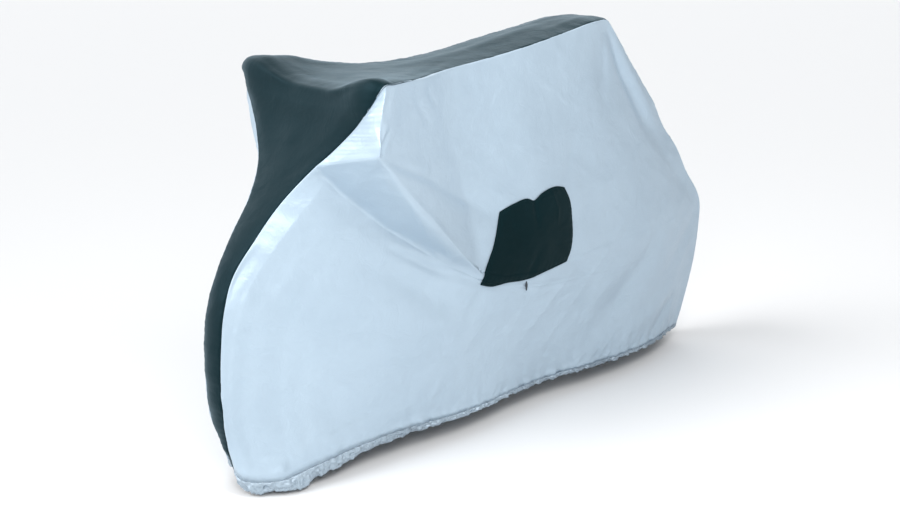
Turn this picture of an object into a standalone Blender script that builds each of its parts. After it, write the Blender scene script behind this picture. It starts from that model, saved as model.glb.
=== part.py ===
"""A fitted cover for one bicycle, as it stands over the bicycle that it hides.

Two silver side panels meet a dark centre strip along one long seam on each side: up the front wheel, out and over the
handlebar's end, back to the saddle and down the rear wheel. An elastic edge gathers the panels' hems. A dark storage
pouch with a small pull tab is sewn on the near side.

Design axes: x to the rear from the front tyre, y to the far side from the centre plane, z up from the ground.
The model's origin is under the cover's top, where the saddle carries it.
"""

import math

import bmesh
import bpy
import numpy as np

# ---------------------------------------------------------------- driving sizes, in metres
SHEET = 0.0015  # thickness of each cloth solid
SEAM_GAP = 0.0032  # a panel's edge stays this far from the seam line, which the centre strip reaches
ORIGIN = (1.220, 0.0, 1.143)  # the top of the saddle, in the design axes
PANEL_SPANS = (36, 20)  # along the bicycle, and up it
STRIP_SPANS = 8  # across the centre strip
POUCH_SPANS = (14, 9)
POUCH_CLEAR = 0.0032  # the pouch's back lies this far outside the panel's outer face
POUCH_SHEET = 0.0018
POUCH_PUFF = 0.006  # how far the pouch's middle stands out
TAB = dict(width=0.010, length=0.030, thick=0.0026, x=0.9205, top=0.4290, out=0.0030)
PANEL_SIZE = (1.85, 1.10)  # along its middle, and up it
ROW_STEPS = 24  # points that a smooth line has between two rows of its table

# The seam between side panel and centre strip, front hem to rear hem. half is half the strip's width.
# mid_x, mid_z: the strip's middle line; lip: how far its edges roll up just inside the seam
SEAM = (
    # name          x      z      half   mid_x  mid_z  lip
    ("front_hem",   0.049, 0.046, 0.008, 0.049, 0.046, 0.000),
    ("toe",         0.027, 0.115, 0.014, 0.023, 0.114, 0.000),
    ("low_tyre",    0.008, 0.200, 0.034, 0.000, 0.199, 0.000),
    ("axle",        0.001, 0.300, 0.037, -0.009, 0.300, 0.000),
    ("tyre",        0.005, 0.400, 0.040, -0.005, 0.402, 0.000),
    ("tyre_top",    0.021, 0.500, 0.040, 0.013, 0.502, 0.000),
    ("mudguard",    0.051, 0.580, 0.039, 0.046, 0.583, 0.000),
    ("fork",        0.107, 0.664, 0.053, 0.103, 0.667, 0.000),
    ("lamp",        0.173, 0.748, 0.070, 0.170, 0.751, 0.000),
    ("stem",        0.226, 0.819, 0.110, 0.221, 0.821, 0.002),
    ("brow",        0.266, 0.887, 0.175, 0.260, 0.885, 0.004),
    ("grip",        0.291, 0.950, 0.237, 0.284, 0.940, 0.008),
    ("bar_low",     0.304, 1.003, 0.281, 0.297, 0.985, 0.014),
    ("bar_end",     0.322, 1.048, 0.306, 0.316, 1.021, 0.022),
    ("bar_back",    0.372, 1.050, 0.286, 0.372, 1.034, 0.012),
    ("hollow",      0.527, 1.044, 0.197, 0.527, 1.047, 0.004),
    ("waist",       0.630, 1.046, 0.140, 0.630, 1.053, 0.002),
    ("top_tube",    0.730, 1.054, 0.120, 0.730, 1.062, 0.000),
    ("mid",         0.844, 1.068, 0.118, 0.843, 1.076, 0.000),
    ("nose",        0.960, 1.087, 0.122, 0.959, 1.097, 0.000),
    ("saddle",      1.143, 1.119, 0.113, 1.141, 1.131, 0.000),
    ("cantle",      1.275, 1.140, 0.101, 1.275, 1.150, 0.002),
    ("tail",        1.338, 1.138, 0.088, 1.346, 1.145, 0.002),
    ("tail_back",   1.380, 1.102, 0.080, 1.388, 1.108, 0.000),
    ("rack_top",    1.490, 0.988, 0.067, 1.496, 0.993, 0.000),
    ("rack",        1.609, 0.851, 0.063, 1.615, 0.856, 0.000),
    ("guard_top",   1.665, 0.777, 0.060, 1.678, 0.786, 0.000),
    ("guard",       1.738, 0.703, 0.058, 1.750, 0.714, 0.000),
    ("guard_back",  1.796, 0.620, 0.056, 1.805, 0.625, 0.000),
    ("rear_most",   1.893, 0.487, 0.052, 1.899, 0.491, 0.000),
    ("rear_tyre",   1.896, 0.405, 0.050, 1.906, 0.405, 0.000),
    ("rear_axle",   1.880, 0.280, 0.048, 1.890, 0.279, 0.000),
    ("rear_low",    1.842, 0.150, 0.046, 1.848, 0.149, 0.000),
    ("rear_hem",    1.803, 0.046, 0.044, 1.803, 0.046, 0.000),
)

# The gathered lower edge of each side, front to rear. out is the distance from the centre plane
HEM = (
    # side    name           x      z      out
    ("near", "front",        0.049, 0.044, 0.010),
    ("near", "toe_turn",     0.040, 0.022, 0.042),
    ("near", "corner",       0.047, 0.013, 0.066),
    ("near", "toe",          0.056, 0.013, 0.085),
    ("near", "droop",        0.081, 0.013, 0.106),
    ("near", "under_toe",    0.107, 0.014, 0.126),
    ("near", "rise",         0.136, 0.017, 0.135),
    ("near", "curl",         0.166, 0.023, 0.136),
    ("near", "front_wheel",  0.205, 0.033, 0.143),
    ("near", "wheel_mid",    0.242, 0.041, 0.148),
    ("near", "wheel_rear",   0.299, 0.048, 0.145),
    ("near", "down_tube",    0.348, 0.054, 0.145),
    ("near", "chain_front",  0.482, 0.060, 0.146),
    ("near", "pedal",        0.689, 0.060, 0.157),
    ("near", "chain",        0.779, 0.060, 0.152),
    ("near", "stay",         0.904, 0.062, 0.135),
    ("near", "stay_rear",    1.073, 0.062, 0.125),
    ("near", "rear_wheel",   1.293, 0.060, 0.138),
    ("near", "rear_hub",     1.475, 0.056, 0.132),
    ("near", "rear_tuck",    1.646, 0.052, 0.100),
    ("near", "rear_turn",    1.733, 0.050, 0.069),
    ("near", "rear",         1.803, 0.045, 0.048),
    ("far",  "front",        0.049, 0.044, 0.010),
    ("far",  "toe_turn",     0.062, 0.031, 0.034),
    ("far",  "flare",        0.112, 0.032, 0.070),
    ("far",  "wheel",        0.190, 0.044, 0.105),
    ("far",  "wheel_rear",   0.270, 0.048, 0.128),
    ("far",  "down_tube",    0.380, 0.055, 0.140),
    ("far",  "chain_front",  0.520, 0.058, 0.142),
    ("far",  "pedal",        0.690, 0.060, 0.148),
    ("far",  "stay",         0.900, 0.061, 0.136),
    ("far",  "stay_rear",    1.080, 0.060, 0.128),
    ("far",  "rear_wheel",   1.300, 0.058, 0.134),
    ("far",  "rear_hub",     1.480, 0.055, 0.128),
    ("far",  "rear_tuck",    1.650, 0.050, 0.098),
    ("far",  "rear_turn",    1.738, 0.048, 0.068),
    ("far",  "rear",         1.803, 0.045, 0.048),
)

# Two lines across each panel, front seam to rear seam, that its rows of points follow: the sharp ridge that runs from
# the handlebar's end down to the pouch, and the valley under it. at is the share of the panel's length
RIDGE_AT, VALLEY_AT = 0.65, 0.50  # their shares of the panel's height
APEX_AT, APEX_COLUMN = 0.045, 3  # the apex's share of the panel's length, and the column of points there
GUIDES = (
    # line      name            at     x      z
    ("valley", "seam",          0.000, 0.232, 0.828),
    ("valley", "wedge_0",       0.045, 0.272, 0.802),
    ("valley", "wedge_1",       0.080, 0.322, 0.752),
    ("valley", "wedge_2",       0.180, 0.452, 0.646),
    ("valley", "wedge_3",       0.290, 0.620, 0.530),
    ("valley", "wedge_end",     0.370, 0.748, 0.462),
    ("valley", "pedal",         0.500, 0.960, 0.405),
    ("valley", "chain",         0.680, 1.270, 0.385),
    ("valley", "hub",           0.860, 1.610, 0.380),
    ("valley", "rear",          1.000, 1.8955, 0.395),
    ("ridge",  "seam",          0.000, 0.247, 0.851),
    ("ridge",  "apex",          0.045, 0.303, 0.885),
    ("ridge",  "wedge_1",       0.125, 0.415, 0.7835),
    ("ridge",  "wedge_2",       0.210, 0.527, 0.682),
    ("ridge",  "wedge_3",       0.295, 0.639, 0.5806),
    ("ridge",  "wedge_end",     0.380, 0.750, 0.485),
    ("ridge",  "pouch",         0.500, 0.960, 0.455),
    ("ridge",  "seat",          0.680, 1.270, 0.470),
    ("ridge",  "hub",           0.860, 1.610, 0.480),
    ("ridge",  "rear",          1.000, 1.8935, 0.484),
)

# Where a panel's cloth lies between its edges, before the handlebar's end pushes it out
LIES = (
    # name          x      z      near   far
    ("tyre_side",   0.045, 0.200, 0.054, 0.052),
    ("fork_side",   0.100, 0.400, 0.070, 0.072),
    ("wheel_low",   0.150, 0.200, 0.098, 0.092),
    ("wheel_top",   0.200, 0.600, 0.093, 0.100),
    ("lamp_side",   0.280, 0.780, 0.134, 0.146),
    ("head",        0.380, 0.880, 0.180, 0.190),
    ("tube_low",    0.450, 0.250, 0.153, 0.148),
    ("tube_mid",    0.480, 0.600, 0.154, 0.154),
    ("tube_top",    0.600, 0.850, 0.165, 0.168),
    ("pedal_side",  0.800, 0.300, 0.166, 0.154),
    ("pouch_side",  0.900, 0.580, 0.178, 0.162),
    ("seat_front",  0.950, 0.850, 0.162, 0.156),
    ("chain_low",   1.150, 0.250, 0.150, 0.144),
    ("seat_side",   1.200, 0.600, 0.162, 0.154),
    ("seat_top",    1.250, 0.900, 0.142, 0.138),
    ("hub_side",    1.480, 0.350, 0.148, 0.144),
    ("rear_side",   1.500, 0.700, 0.120, 0.120),
    ("rear_edge",   1.740, 0.380, 0.098, 0.098),
)

# The tent that the handlebar's end makes: flat facets from its apex to each corner of its rim, in order round it
APEX = (
    # side    x      z      out
    ("near", 0.303, 0.885, 0.314),
    ("far",  0.314, 0.958, 0.305),
)
TENT = (
    # side    corner         x      z      out
    ("near", "bar_end",      0.330, 1.046, 0.305),
    ("near", "facet_top",    0.300, 0.981, 0.264),
    ("near", "facet_foot",   0.246, 0.850, 0.140),
    ("near", "wedge_1",      0.322, 0.752, 0.137),
    ("near", "wedge_2",      0.452, 0.646, 0.152),
    ("near", "wedge_3",      0.620, 0.530, 0.166),
    ("near", "wedge_end",    0.750, 0.480, 0.176),
    ("near", "side",         0.680, 0.690, 0.176),
    ("near", "side_top",     0.620, 0.860, 0.166),
    ("near", "waist",        0.630, 1.046, 0.140),
    ("near", "hollow",       0.500, 1.045, 0.212),
    ("near", "bar_back",     0.380, 1.050, 0.283),
    ("far",  "bar_end",      0.330, 1.046, 0.305),
    ("far",  "grip",         0.296, 0.968, 0.254),
    ("far",  "stem",         0.240, 0.840, 0.132),
    ("far",  "down",         0.360, 0.640, 0.154),
    ("far",  "down_tube",    0.560, 0.600, 0.160),
    ("far",  "side",         0.700, 0.760, 0.166),
    ("far",  "waist",        0.640, 1.047, 0.135),
    ("far",  "hollow",       0.500, 1.045, 0.212),
)
SOFT = 0.005  # the facets' edges are rounded over about this far
BLEND = 0.006  # and where they run out into the rest of the cloth

# The larger folds: a soft ridge (depth over 0) or trough along a line, half as deep at width from it
FOLDS = (
    # side    name              x0     z0     x1     z1     depth   width
    ("near", "apex_to_grip",    0.312, 0.900, 0.322, 0.985, -0.010, 0.018),
    ("near", "apex_rise",       0.325, 0.905, 0.380, 0.960, -0.006, 0.020),
    ("near", "below_wedge",     0.400, 0.560, 0.700, 0.380, -0.010, 0.035),
    ("near", "pouch_pull",      0.520, 0.800, 0.810, 0.640, -0.008, 0.030),
    ("near", "saddle_fall",     1.330, 1.080, 1.530, 0.800, -0.012, 0.022),
    ("near", "saddle_ridge",    1.390, 1.060, 1.600, 0.800, 0.006, 0.022),
    ("near", "saddle_drop",     1.290, 1.090, 1.280, 0.900, -0.006, 0.025),
    ("near", "hub_diagonal",    1.560, 0.420, 1.250, 0.180, -0.012, 0.045),
    ("near", "rear_light",      1.700, 0.220, 1.430, 0.130, 0.007, 0.030),
    ("far",  "apex_to_grip",    0.316, 0.880, 0.303, 0.975, -0.012, 0.018),
    ("far",  "down_tube_pull",  0.420, 0.560, 0.820, 0.300, -0.012, 0.040),
    ("far",  "saddle_fall",     1.310, 1.070, 1.500, 0.760, -0.010, 0.026),
    ("far",  "hub_diagonal",    1.600, 0.460, 1.300, 0.200, -0.010, 0.050),
    ("far",  "front_wheel_arc", 0.170, 0.560, 0.420, 0.250, 0.006, 0.045),
)

# The pouch's outline on the near panel, going round from its upper left corner
POUCH = (
    # side      name            x      z
    ("left",   "upper_left",    0.826, 0.645),
    ("left",   "left_high",     0.812, 0.600),
    ("left",   "left_mid",      0.797, 0.556),
    ("left",   "left_low",      0.768, 0.495),
    ("left",   "lower_left",    0.748, 0.450),
    ("bottom", "lower_left",    0.748, 0.450),
    ("bottom", "bottom_1",      0.785, 0.438),
    ("bottom", "bottom_2",      0.845, 0.438),
    ("bottom", "pull",          0.920, 0.433),
    ("bottom", "bottom_3",      1.000, 0.444),
    ("bottom", "lower_right",   1.092, 0.454),
    ("right",  "lower_right",   1.092, 0.454),
    ("right",  "right_low",     1.108, 0.500),
    ("right",  "right_mid",     1.112, 0.560),
    ("right",  "right_high",    1.102, 0.635),
    ("right",  "upper_right",   1.078, 0.680),
    ("top",    "upper_left",    0.826, 0.645),
    ("top",    "top_left",      0.880, 0.664),
    ("top",    "brow_left",     0.928, 0.669),
    ("top",    "notch",         0.948, 0.661),
    ("top",    "brow_right",    0.980, 0.677),
    ("top",    "crest",         1.040, 0.688),
    ("top",    "upper_right",   1.078, 0.680),
)

FINISHES = {
    # name: (colour, roughness, metallic)
    "silver_cloth": ((0.56, 0.65, 0.74), 0.42, 0.15),
    "dark_cloth": ((0.030, 0.050, 0.058), 0.60, 0.0),
    "pouch_cloth": ((0.014, 0.026, 0.032), 0.70, 0.0),
    "pull_webbing": ((0.018, 0.026, 0.034), 0.55, 0.0),
}


# ---------------------------------------------------------------- lines
def columns(rows, *wanted):
    return np.array([[row[i] for i in wanted] for row in rows], float)


def of_side(rows, side):
    return [row for row in rows if row[0] == side]


def smooth_line(points):
    """A dense line through the points, with the tangents of a parabola through each three."""
    gap = np.linalg.norm(np.diff(points, axis=0), axis=1)[:, None]
    slope = np.diff(points, axis=0) / gap
    lean = np.empty_like(points)
    lean[1:-1] = (slope[:-1] * gap[1:] + slope[1:] * gap[:-1]) / (gap[1:] + gap[:-1])
    lean[0] = 1.5 * slope[0] - 0.5 * lean[1]
    lean[-1] = 1.5 * slope[-1] - 0.5 * lean[-2]
    t = np.linspace(0, 1, ROW_STEPS, endpoint=False)[:, None]
    spans = [
        (2 * t**3 - 3 * t**2 + 1) * points[i]
        + (t**3 - 2 * t**2 + t) * gap[i] * lean[i]
        + (3 * t**2 - 2 * t**3) * points[i + 1]
        + (t**3 - t**2) * gap[i] * lean[i + 1]
        for i in range(len(gap))
    ]
    return np.concatenate([*spans, points[-1:]])


def along(line, shares):
    """The line's values at these shares of its length, which its first three columns give."""
    step = np.linalg.norm(np.diff(line[:, :3], axis=0), axis=1)
    run = np.concatenate([[0], np.cumsum(step)])
    return np.stack(
        [np.interp(shares, run / run[-1], line[:, i]) for i in range(line.shape[1])], -1
    )


def seam_lines():
    """The seam's front, top and rear stretch, each as x, z, half, mid_x, mid_z, lip. Front and rear run upwards."""
    line = smooth_line(columns(SEAM, 1, 2, 3, 4, 5, 6))
    names = [row[0] for row in SEAM]
    bar = names.index("bar_end") * ROW_STEPS
    tail = names.index("tail") * ROW_STEPS
    return line[: bar + 1], line[bar : tail + 1], line[tail:][::-1]


def guide_line(name):
    """A guide's dense line as x, z and its share of the panel's length, straight from row to row at the front."""
    rows = columns(of_side(GUIDES, name), 3, 4, 2)
    bent = smooth_line(rows)
    straight = np.stack(
        [np.interp(bent[:, 2], rows[:, 2], rows[:, i]) for i in range(3)], -1
    )
    eased = np.clip((bent[:, 2:3] - 0.37) / 0.06, 0, 1)
    return straight + (bent - straight) * eased


def share_near(line, point):
    """The share of the line's length at its point nearest to this one."""
    step = np.linalg.norm(np.diff(line[:, :3], axis=0), axis=1)
    run = np.concatenate([[0], np.cumsum(step)])
    return run[np.linalg.norm(line[:, :2] - point, axis=1).argmin()] / run[-1]


def panel_plan(side, u, v):
    """Where a panel's points lie seen from its side: three patches, parted by the guides. Also its edges' points."""
    front, top, rear = seam_lines()
    marks = [0.0, VALLEY_AT, RIDGE_AT, 1.0]
    guides = [guide_line("valley"), guide_line("ridge")]
    ends = {
        which: [0.0, *(share_near(line, g[end, :2]) for g in guides), 1.0]
        for which, line, end in (("left", front, 0), ("right", rear, -1))
    }
    left = along(front, np.interp(v, marks, ends["left"]))[:, :3]
    right = along(rear, np.interp(v, marks, ends["right"]))[:, :3]
    hem = along(hem_line(side), u)[:, :3]
    crest = along(top, u)[:, :3]
    across = [hem[:, :2]]
    for guide, where in zip(guides, (1, 2)):
        line = np.stack([np.interp(u, guide[:, 2], guide[:, i]) for i in (0, 1)], -1)
        line[0] = along(front, np.array([ends["left"][where]]))[0, :2]
        line[-1] = along(rear, np.array([ends["right"][where]]))[0, :2]
        across.append(line)
    across.append(crest[:, :2])
    flat = np.empty((len(v), len(u), 2))
    for i in range(3):
        low, high = marks[i], marks[i + 1]
        rows = np.nonzero((v >= low - 1e-9) & (v <= high + 1e-9))[0]
        share = (v[rows] - low) / (high - low)
        flat[rows] = patch(
            left[rows, :2], right[rows, :2], across[i], across[i + 1], u, share
        )
    return flat, left, right, hem, crest


def patch(left, right, bottom, top, u, v):
    """Points inside four edge lines. left and right are given at v, bottom and top at u."""
    u, v = u[None, :, None], v[:, None, None]
    ruled = (
        (1 - u) * left[:, None] + u * right[:, None] + (1 - v) * bottom + v * top
    )
    corners = (
        (1 - u) * (1 - v) * bottom[0]
        + u * (1 - v) * bottom[-1]
        + (1 - u) * v * top[0]
        + u * v * top[-1]
    )
    return ruled - corners


# ---------------------------------------------------------------- how far out the cloth lies
def bend(r):
    return r**2 * np.log(np.maximum(r, 1e-9))


def plate_through(spots, values):
    """The smoothest sheet through the values: a thin plate's weights."""
    n = len(spots)
    r = np.linalg.norm(spots[:, None] - spots[None], axis=2)
    flat = np.column_stack([np.ones(n), spots])
    rows = np.block([[bend(r), flat], [flat.T, np.zeros((3, 3))]])
    return np.linalg.solve(rows, np.concatenate([values, np.zeros(3)]))


def plate_at(weights, spots, at):
    n = len(spots)
    r = np.linalg.norm(at[:, None] - spots[None], axis=2)
    return bend(r) @ weights[:n] + weights[n] + at @ weights[n + 1 :]


def hem_line(side):
    return smooth_line(columns(of_side(HEM, side), 2, 3, 4))


def side_sheet(side):
    """The plate of one side's cloth without its tent and folds, over the panel's own length and height."""
    u, v = np.linspace(0, 1, 41), np.linspace(0, 1, 31)
    flat, left, right, low, high = panel_plan(side, u, v)
    lies = columns(LIES, 1, 2, 3 if side == "near" else 4)
    nearest = [
        np.linalg.norm(flat - row[:2], axis=2).reshape(-1).argmin() for row in lies
    ]
    grid = np.stack(np.meshgrid(u, v), -1)
    spots = np.concatenate(
        [grid[:, 0], grid[:, -1], grid[0, 1:-1], grid[-1, 1:-1]]
        + [grid.reshape(-1, 2)[nearest]]
    )
    values = np.concatenate(
        [left[:, 2], right[:, 2], low[1:-1, 2], high[1:-1, 2], lies[:, 2]]
    )
    spots = spots * np.array(PANEL_SIZE)
    return plate_through(spots, values), spots


def tent(side, at):
    """How far out the facets round the apex lie at each (x, z), also past their rim."""
    peak = columns(of_side(APEX, side), 1, 2, 3)[0]
    rim = columns(of_side(TENT, side), 2, 3, 4) - peak
    p = at - peak[:2]
    found = np.full(len(at), peak[2])
    for a, b in zip(rim, np.roll(rim, -1, axis=0)):
        det = a[0] * b[1] - a[1] * b[0]
        s = (p[:, 0] * b[1] - p[:, 1] * b[0]) / det
        t = (a[0] * p[:, 1] - a[1] * p[:, 0]) / det
        inside = (s >= -1e-12) & (t >= -1e-12)
        found[inside] = peak[2] + s[inside] * a[2] + t[inside] * b[2]
    return found


def soft_tent(side, at):
    """The tent averaged over two rings round each point."""
    rings = [(0.0, 0.0)] + [
        (size * math.cos(turn), size * math.sin(turn))
        for size in (SOFT / 2, SOFT)
        for turn in np.arange(6) * math.pi / 3 + size
    ]
    return sum(tent(side, at + np.array(step)) for step in rings) / len(rings)


def folds(side, at):
    found = np.zeros(len(at))
    for which, _, x0, z0, x1, z1, depth, width in FOLDS:
        if which != side:
            continue
        start, run = np.array((x0, z0)), np.array((x1 - x0, z1 - z0))
        share = np.clip((at - start) @ run / (run @ run), 0, 1)
        off = np.linalg.norm(at - start - share[:, None] * run, axis=1)
        fade = np.sin(math.pi * np.clip(0.12 + 0.76 * share, 0, 1))
        found += depth * fade * 0.5 ** ((off / width) ** 2)
    return found


def panel_points(side, u, v):
    """The outer face of a side panel as rows (up) of points (along)."""
    flat, left, right, low, high = panel_plan(side, u, v)
    weights, spots = side_sheet(side)
    size = np.array(PANEL_SIZE)
    out = plate_at(weights, spots, np.stack(np.meshgrid(u, v), -1).reshape(-1, 2) * size)
    to_seam = np.minimum(
        np.minimum(
            np.linalg.norm(flat - left[:, None, :2], axis=2),
            np.linalg.norm(flat - right[:, None, :2], axis=2),
        ),
        np.linalg.norm(flat - high[None, :, :2], axis=2),
    )
    to_hem = np.linalg.norm(flat - low[None, :, :2], axis=2)
    edge = np.clip(to_seam / 0.012, 0, 1) * np.clip(to_hem / 0.03, 0, 1)
    at = flat.reshape(-1, 2)
    over = soft_tent(side, at) - out
    raised = (over + np.sqrt(over**2 + BLEND**2)) / 2
    out = out + (raised + folds(side, at)) * edge.reshape(-1)
    out = out.reshape(flat.shape[:2])
    # the edges themselves are exact
    out = out + patch(
        (left[:, 2] - out[:, 0])[:, None],
        (right[:, 2] - out[:, -1])[:, None],
        (low[:, 2] - out[0])[:, None],
        (high[:, 2] - out[-1])[:, None],
        u,
        v,
    )[..., 0]
    sign = -1 if side == "near" else 1
    return np.stack([flat[..., 0], sign * out, flat[..., 1]], -1)


def near_lie(at):
    """How far from the centre plane the near panel's outer face is at each (x, z)."""
    face = panel_points("near", np.linspace(0, 1, 181), np.linspace(0, 1, 121))
    du, dv = np.gradient(face, axis=1), np.gradient(face, axis=0)
    found = []
    for point in at:
        i = np.linalg.norm(face[..., [0, 2]] - point, axis=2).argmin()
        i = np.unravel_index(i, face.shape[:2])
        turn = np.array([du[i][[0, 2]], dv[i][[0, 2]]]).T
        step = np.linalg.solve(turn, point - face[i][[0, 2]])
        found.append(-(face[i][1] + step @ np.array([du[i][1], dv[i][1]])))
    return np.array(found)


# ---------------------------------------------------------------- the cut pieces
def inset(grid, gap):
    """The same rows with both ends and the top drawn in from the seam."""
    grid = grid.copy()

    def towards(a, b):
        step = b - a
        return a + gap * step / np.linalg.norm(step, axis=-1, keepdims=True)

    grid[:, 0] = towards(grid[:, 0], grid[:, 1])
    grid[:, -1] = towards(grid[:, -1], grid[:, -2])
    grid[-1] = towards(grid[-1], grid[-2])
    return grid


def strip_points(front_at, top_at, rear_at, across):
    """The centre strip's outer face: rows from the front hem over the top to the rear hem, points near to far."""
    front, top, rear = seam_lines()
    rows = np.concatenate(
        [along(front, front_at), along(top, top_at)[1:], along(rear, rear_at)[::-1][1:]]
    )
    run = np.gradient(rows[:, :2], axis=0)
    run /= np.linalg.norm(run, axis=1, keepdims=True)
    facing = np.stack([-run[:, 1], run[:, 0]], -1)[:, None]
    t2 = across[None, :, None] ** 2
    flat = (
        rows[:, None, :2]
        + (rows[:, None, 3:5] - rows[:, None, :2]) * (1 - t2)
        + facing * rows[:, None, 5:6] * 6.75 * t2**2 * (1 - t2)
    )
    return np.stack([flat[..., 0], rows[:, 2:3] * across, flat[..., 1]], -1)


def pouch_points(u, v):
    """The pouch's back on the near panel, rows from bottom to top."""
    side = {
        name: smooth_line(columns(of_side(POUCH, name), 2, 3))
        for name in ("left", "bottom", "right", "top")
    }
    left = along(side["left"][::-1], v)
    flat = patch(
        left, along(side["right"], v), along(side["bottom"], u), along(side["top"], u), u, v
    )
    out = near_lie(flat.reshape(-1, 2)).reshape(flat.shape[:2])
    puff = POUCH_PUFF * np.outer(np.sin(math.pi * v), np.sin(math.pi * u)) ** 0.6
    return np.stack(
        [flat[..., 0], -(out + POUCH_CLEAR + POUCH_SHEET + puff), flat[..., 1]], -1
    )


# ---------------------------------------------------------------- Blender objects
def make_finish(name):
    colour, roughness, metallic = FINISHES[name]
    finish = bpy.data.materials.new(name)
    finish.use_nodes = True
    shader = finish.node_tree.nodes["Principled BSDF"]
    shader.inputs["Base Color"].default_value = (*colour, 1)
    shader.inputs["Roughness"].default_value = roughness
    shader.inputs["Metallic"].default_value = metallic
    finish.diffuse_color = (*colour, 1)
    return finish


def sheet_object(name, grid, finish, thick, home, flip):
    """A cloth solid: a grid laid on the rows of points, made thick to the side that its faces turn their backs to."""
    rows, spans = grid.shape[:2]
    mesh = bpy.data.meshes.new(name)
    cloth = bmesh.new()
    bmesh.ops.create_grid(cloth, x_segments=spans - 1, y_segments=rows - 1, size=0.5)
    for vertex in cloth.verts:
        i = round((vertex.co.x + 0.5) * (spans - 1))
        j = round((vertex.co.y + 0.5) * (rows - 1))
        vertex.co = grid[j, i] - np.array(ORIGIN)
    if flip:
        bmesh.ops.reverse_faces(cloth, faces=cloth.faces)
    cloth.to_mesh(mesh)
    cloth.free()
    mesh.shade_smooth()
    mesh.materials.append(finish)
    piece = bpy.data.objects.new(name, mesh)
    home.objects.link(piece)
    solid = piece.modifiers.new("thickness", "SOLIDIFY")
    solid.thickness = thick
    solid.offset = -1
    return piece


def tab_object(home, finish):
    """The pull: a flat tapered tab with rounded edges, hanging from the pouch's lower edge."""
    mesh = bpy.data.meshes.new("pouch_tab")
    tab = bmesh.new()
    bmesh.ops.create_cube(tab, size=1)
    for vertex in tab.verts:
        taper = 0.62 if vertex.co.z < 0 else 1.0
        vertex.co.x *= TAB["width"] * taper
        vertex.co.y *= TAB["thick"]
        vertex.co.z *= TAB["length"]
    tab.to_mesh(mesh)
    tab.free()
    mesh.materials.append(finish)
    piece = bpy.data.objects.new("pouch_tab", mesh)
    home.objects.link(piece)
    rounding = piece.modifiers.new("rounding", "BEVEL")
    rounding.width = 0.0009
    rounding.segments = 2
    top, foot = TAB["top"], TAB["top"] - TAB["length"]
    out_top, out_foot = near_lie([(TAB["x"], top), (TAB["x"], foot)])
    clear = TAB["out"] + TAB["thick"] / 2
    piece.location = (
        TAB["x"] - ORIGIN[0],
        -(max(out_top, out_foot) + clear),
        (top + foot) / 2 - ORIGIN[2],
    )
    return piece


def main():
    for thing in list(bpy.data.objects):
        bpy.data.objects.remove(thing)
    home = bpy.data.collections.new("bicycle_cover")
    bpy.context.scene.collection.children.link(home)
    finish = {name: make_finish(name) for name in FINISHES}
    ahead = math.log(APEX_AT) / math.log(APEX_COLUMN / PANEL_SPANS[0])
    u = np.linspace(0, 1, PANEL_SPANS[0] + 1) ** ahead
    v = np.linspace(0, 1, PANEL_SPANS[1] + 1)
    across = np.sin(np.linspace(-1, 1, STRIP_SPANS + 1) * math.pi / 2)
    near = inset(panel_points("near", u, v), SEAM_GAP)
    far = inset(panel_points("far", u, v), SEAM_GAP)
    strip = strip_points(v, u, v, across)
    pouch = pouch_points(
        np.linspace(0, 1, POUCH_SPANS[0] + 1), np.linspace(0, 1, POUCH_SPANS[1] + 1)
    )
    sheet_object("near_side_panel", near, finish["silver_cloth"], SHEET, home, False)
    sheet_object("far_side_panel", far, finish["silver_cloth"], SHEET, home, True)
    sheet_object("centre_gusset", strip, finish["dark_cloth"], SHEET, home, False)
    sheet_object("storage_pouch", pouch, finish["pouch_cloth"], POUCH_SHEET, home, False)
    tab_object(home, finish["pull_webbing"])


if __name__ == "__main__":
    main()
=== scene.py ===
"""The bicycle cover as it looks: silver side panels, a dark centre strip, a gathered hem and a storage pouch.

Every cloth piece lies on the folds of its solid. Fine puckers, gathers and stitches are added to them here.
Design axes: x to the rear from the front tyre, y to the far side, z up from the ground. ORIGIN moves them to the frame.
"""

import math

import bpy
import numpy as np
from mathutils import Matrix, Vector


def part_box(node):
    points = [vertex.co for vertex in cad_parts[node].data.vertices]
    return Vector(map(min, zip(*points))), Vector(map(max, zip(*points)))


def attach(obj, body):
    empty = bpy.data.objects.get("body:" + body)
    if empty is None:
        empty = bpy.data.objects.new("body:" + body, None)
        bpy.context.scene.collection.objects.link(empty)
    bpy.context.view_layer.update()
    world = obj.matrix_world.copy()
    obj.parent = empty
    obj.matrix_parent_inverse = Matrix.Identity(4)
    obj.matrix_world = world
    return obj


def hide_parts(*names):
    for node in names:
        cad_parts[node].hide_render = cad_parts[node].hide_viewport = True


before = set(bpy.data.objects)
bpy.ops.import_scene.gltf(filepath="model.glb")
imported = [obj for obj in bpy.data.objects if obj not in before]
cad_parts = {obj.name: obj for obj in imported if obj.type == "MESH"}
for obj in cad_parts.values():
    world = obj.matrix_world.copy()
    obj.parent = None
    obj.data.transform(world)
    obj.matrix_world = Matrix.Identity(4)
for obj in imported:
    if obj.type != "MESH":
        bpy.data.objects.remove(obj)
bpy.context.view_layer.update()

# ---------------------------------------------------------------- driving sizes, in metres
ORIGIN = np.array((1.220, 0.0, 1.143))
ROW_STEPS = 60
PANEL_SIZE = (1.85, 1.10)
RIDGE_AT, VALLEY_AT = 0.65, 0.50
SOFT = 0.0035  # rounding of the facets' edges
BLEND = 0.006
TURN_IN = 0.006  # how deep a sewn edge turns in between the two cloths
HEM_AT = 0.018  # the hem's stitch line, as a share of the panel's height

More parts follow.
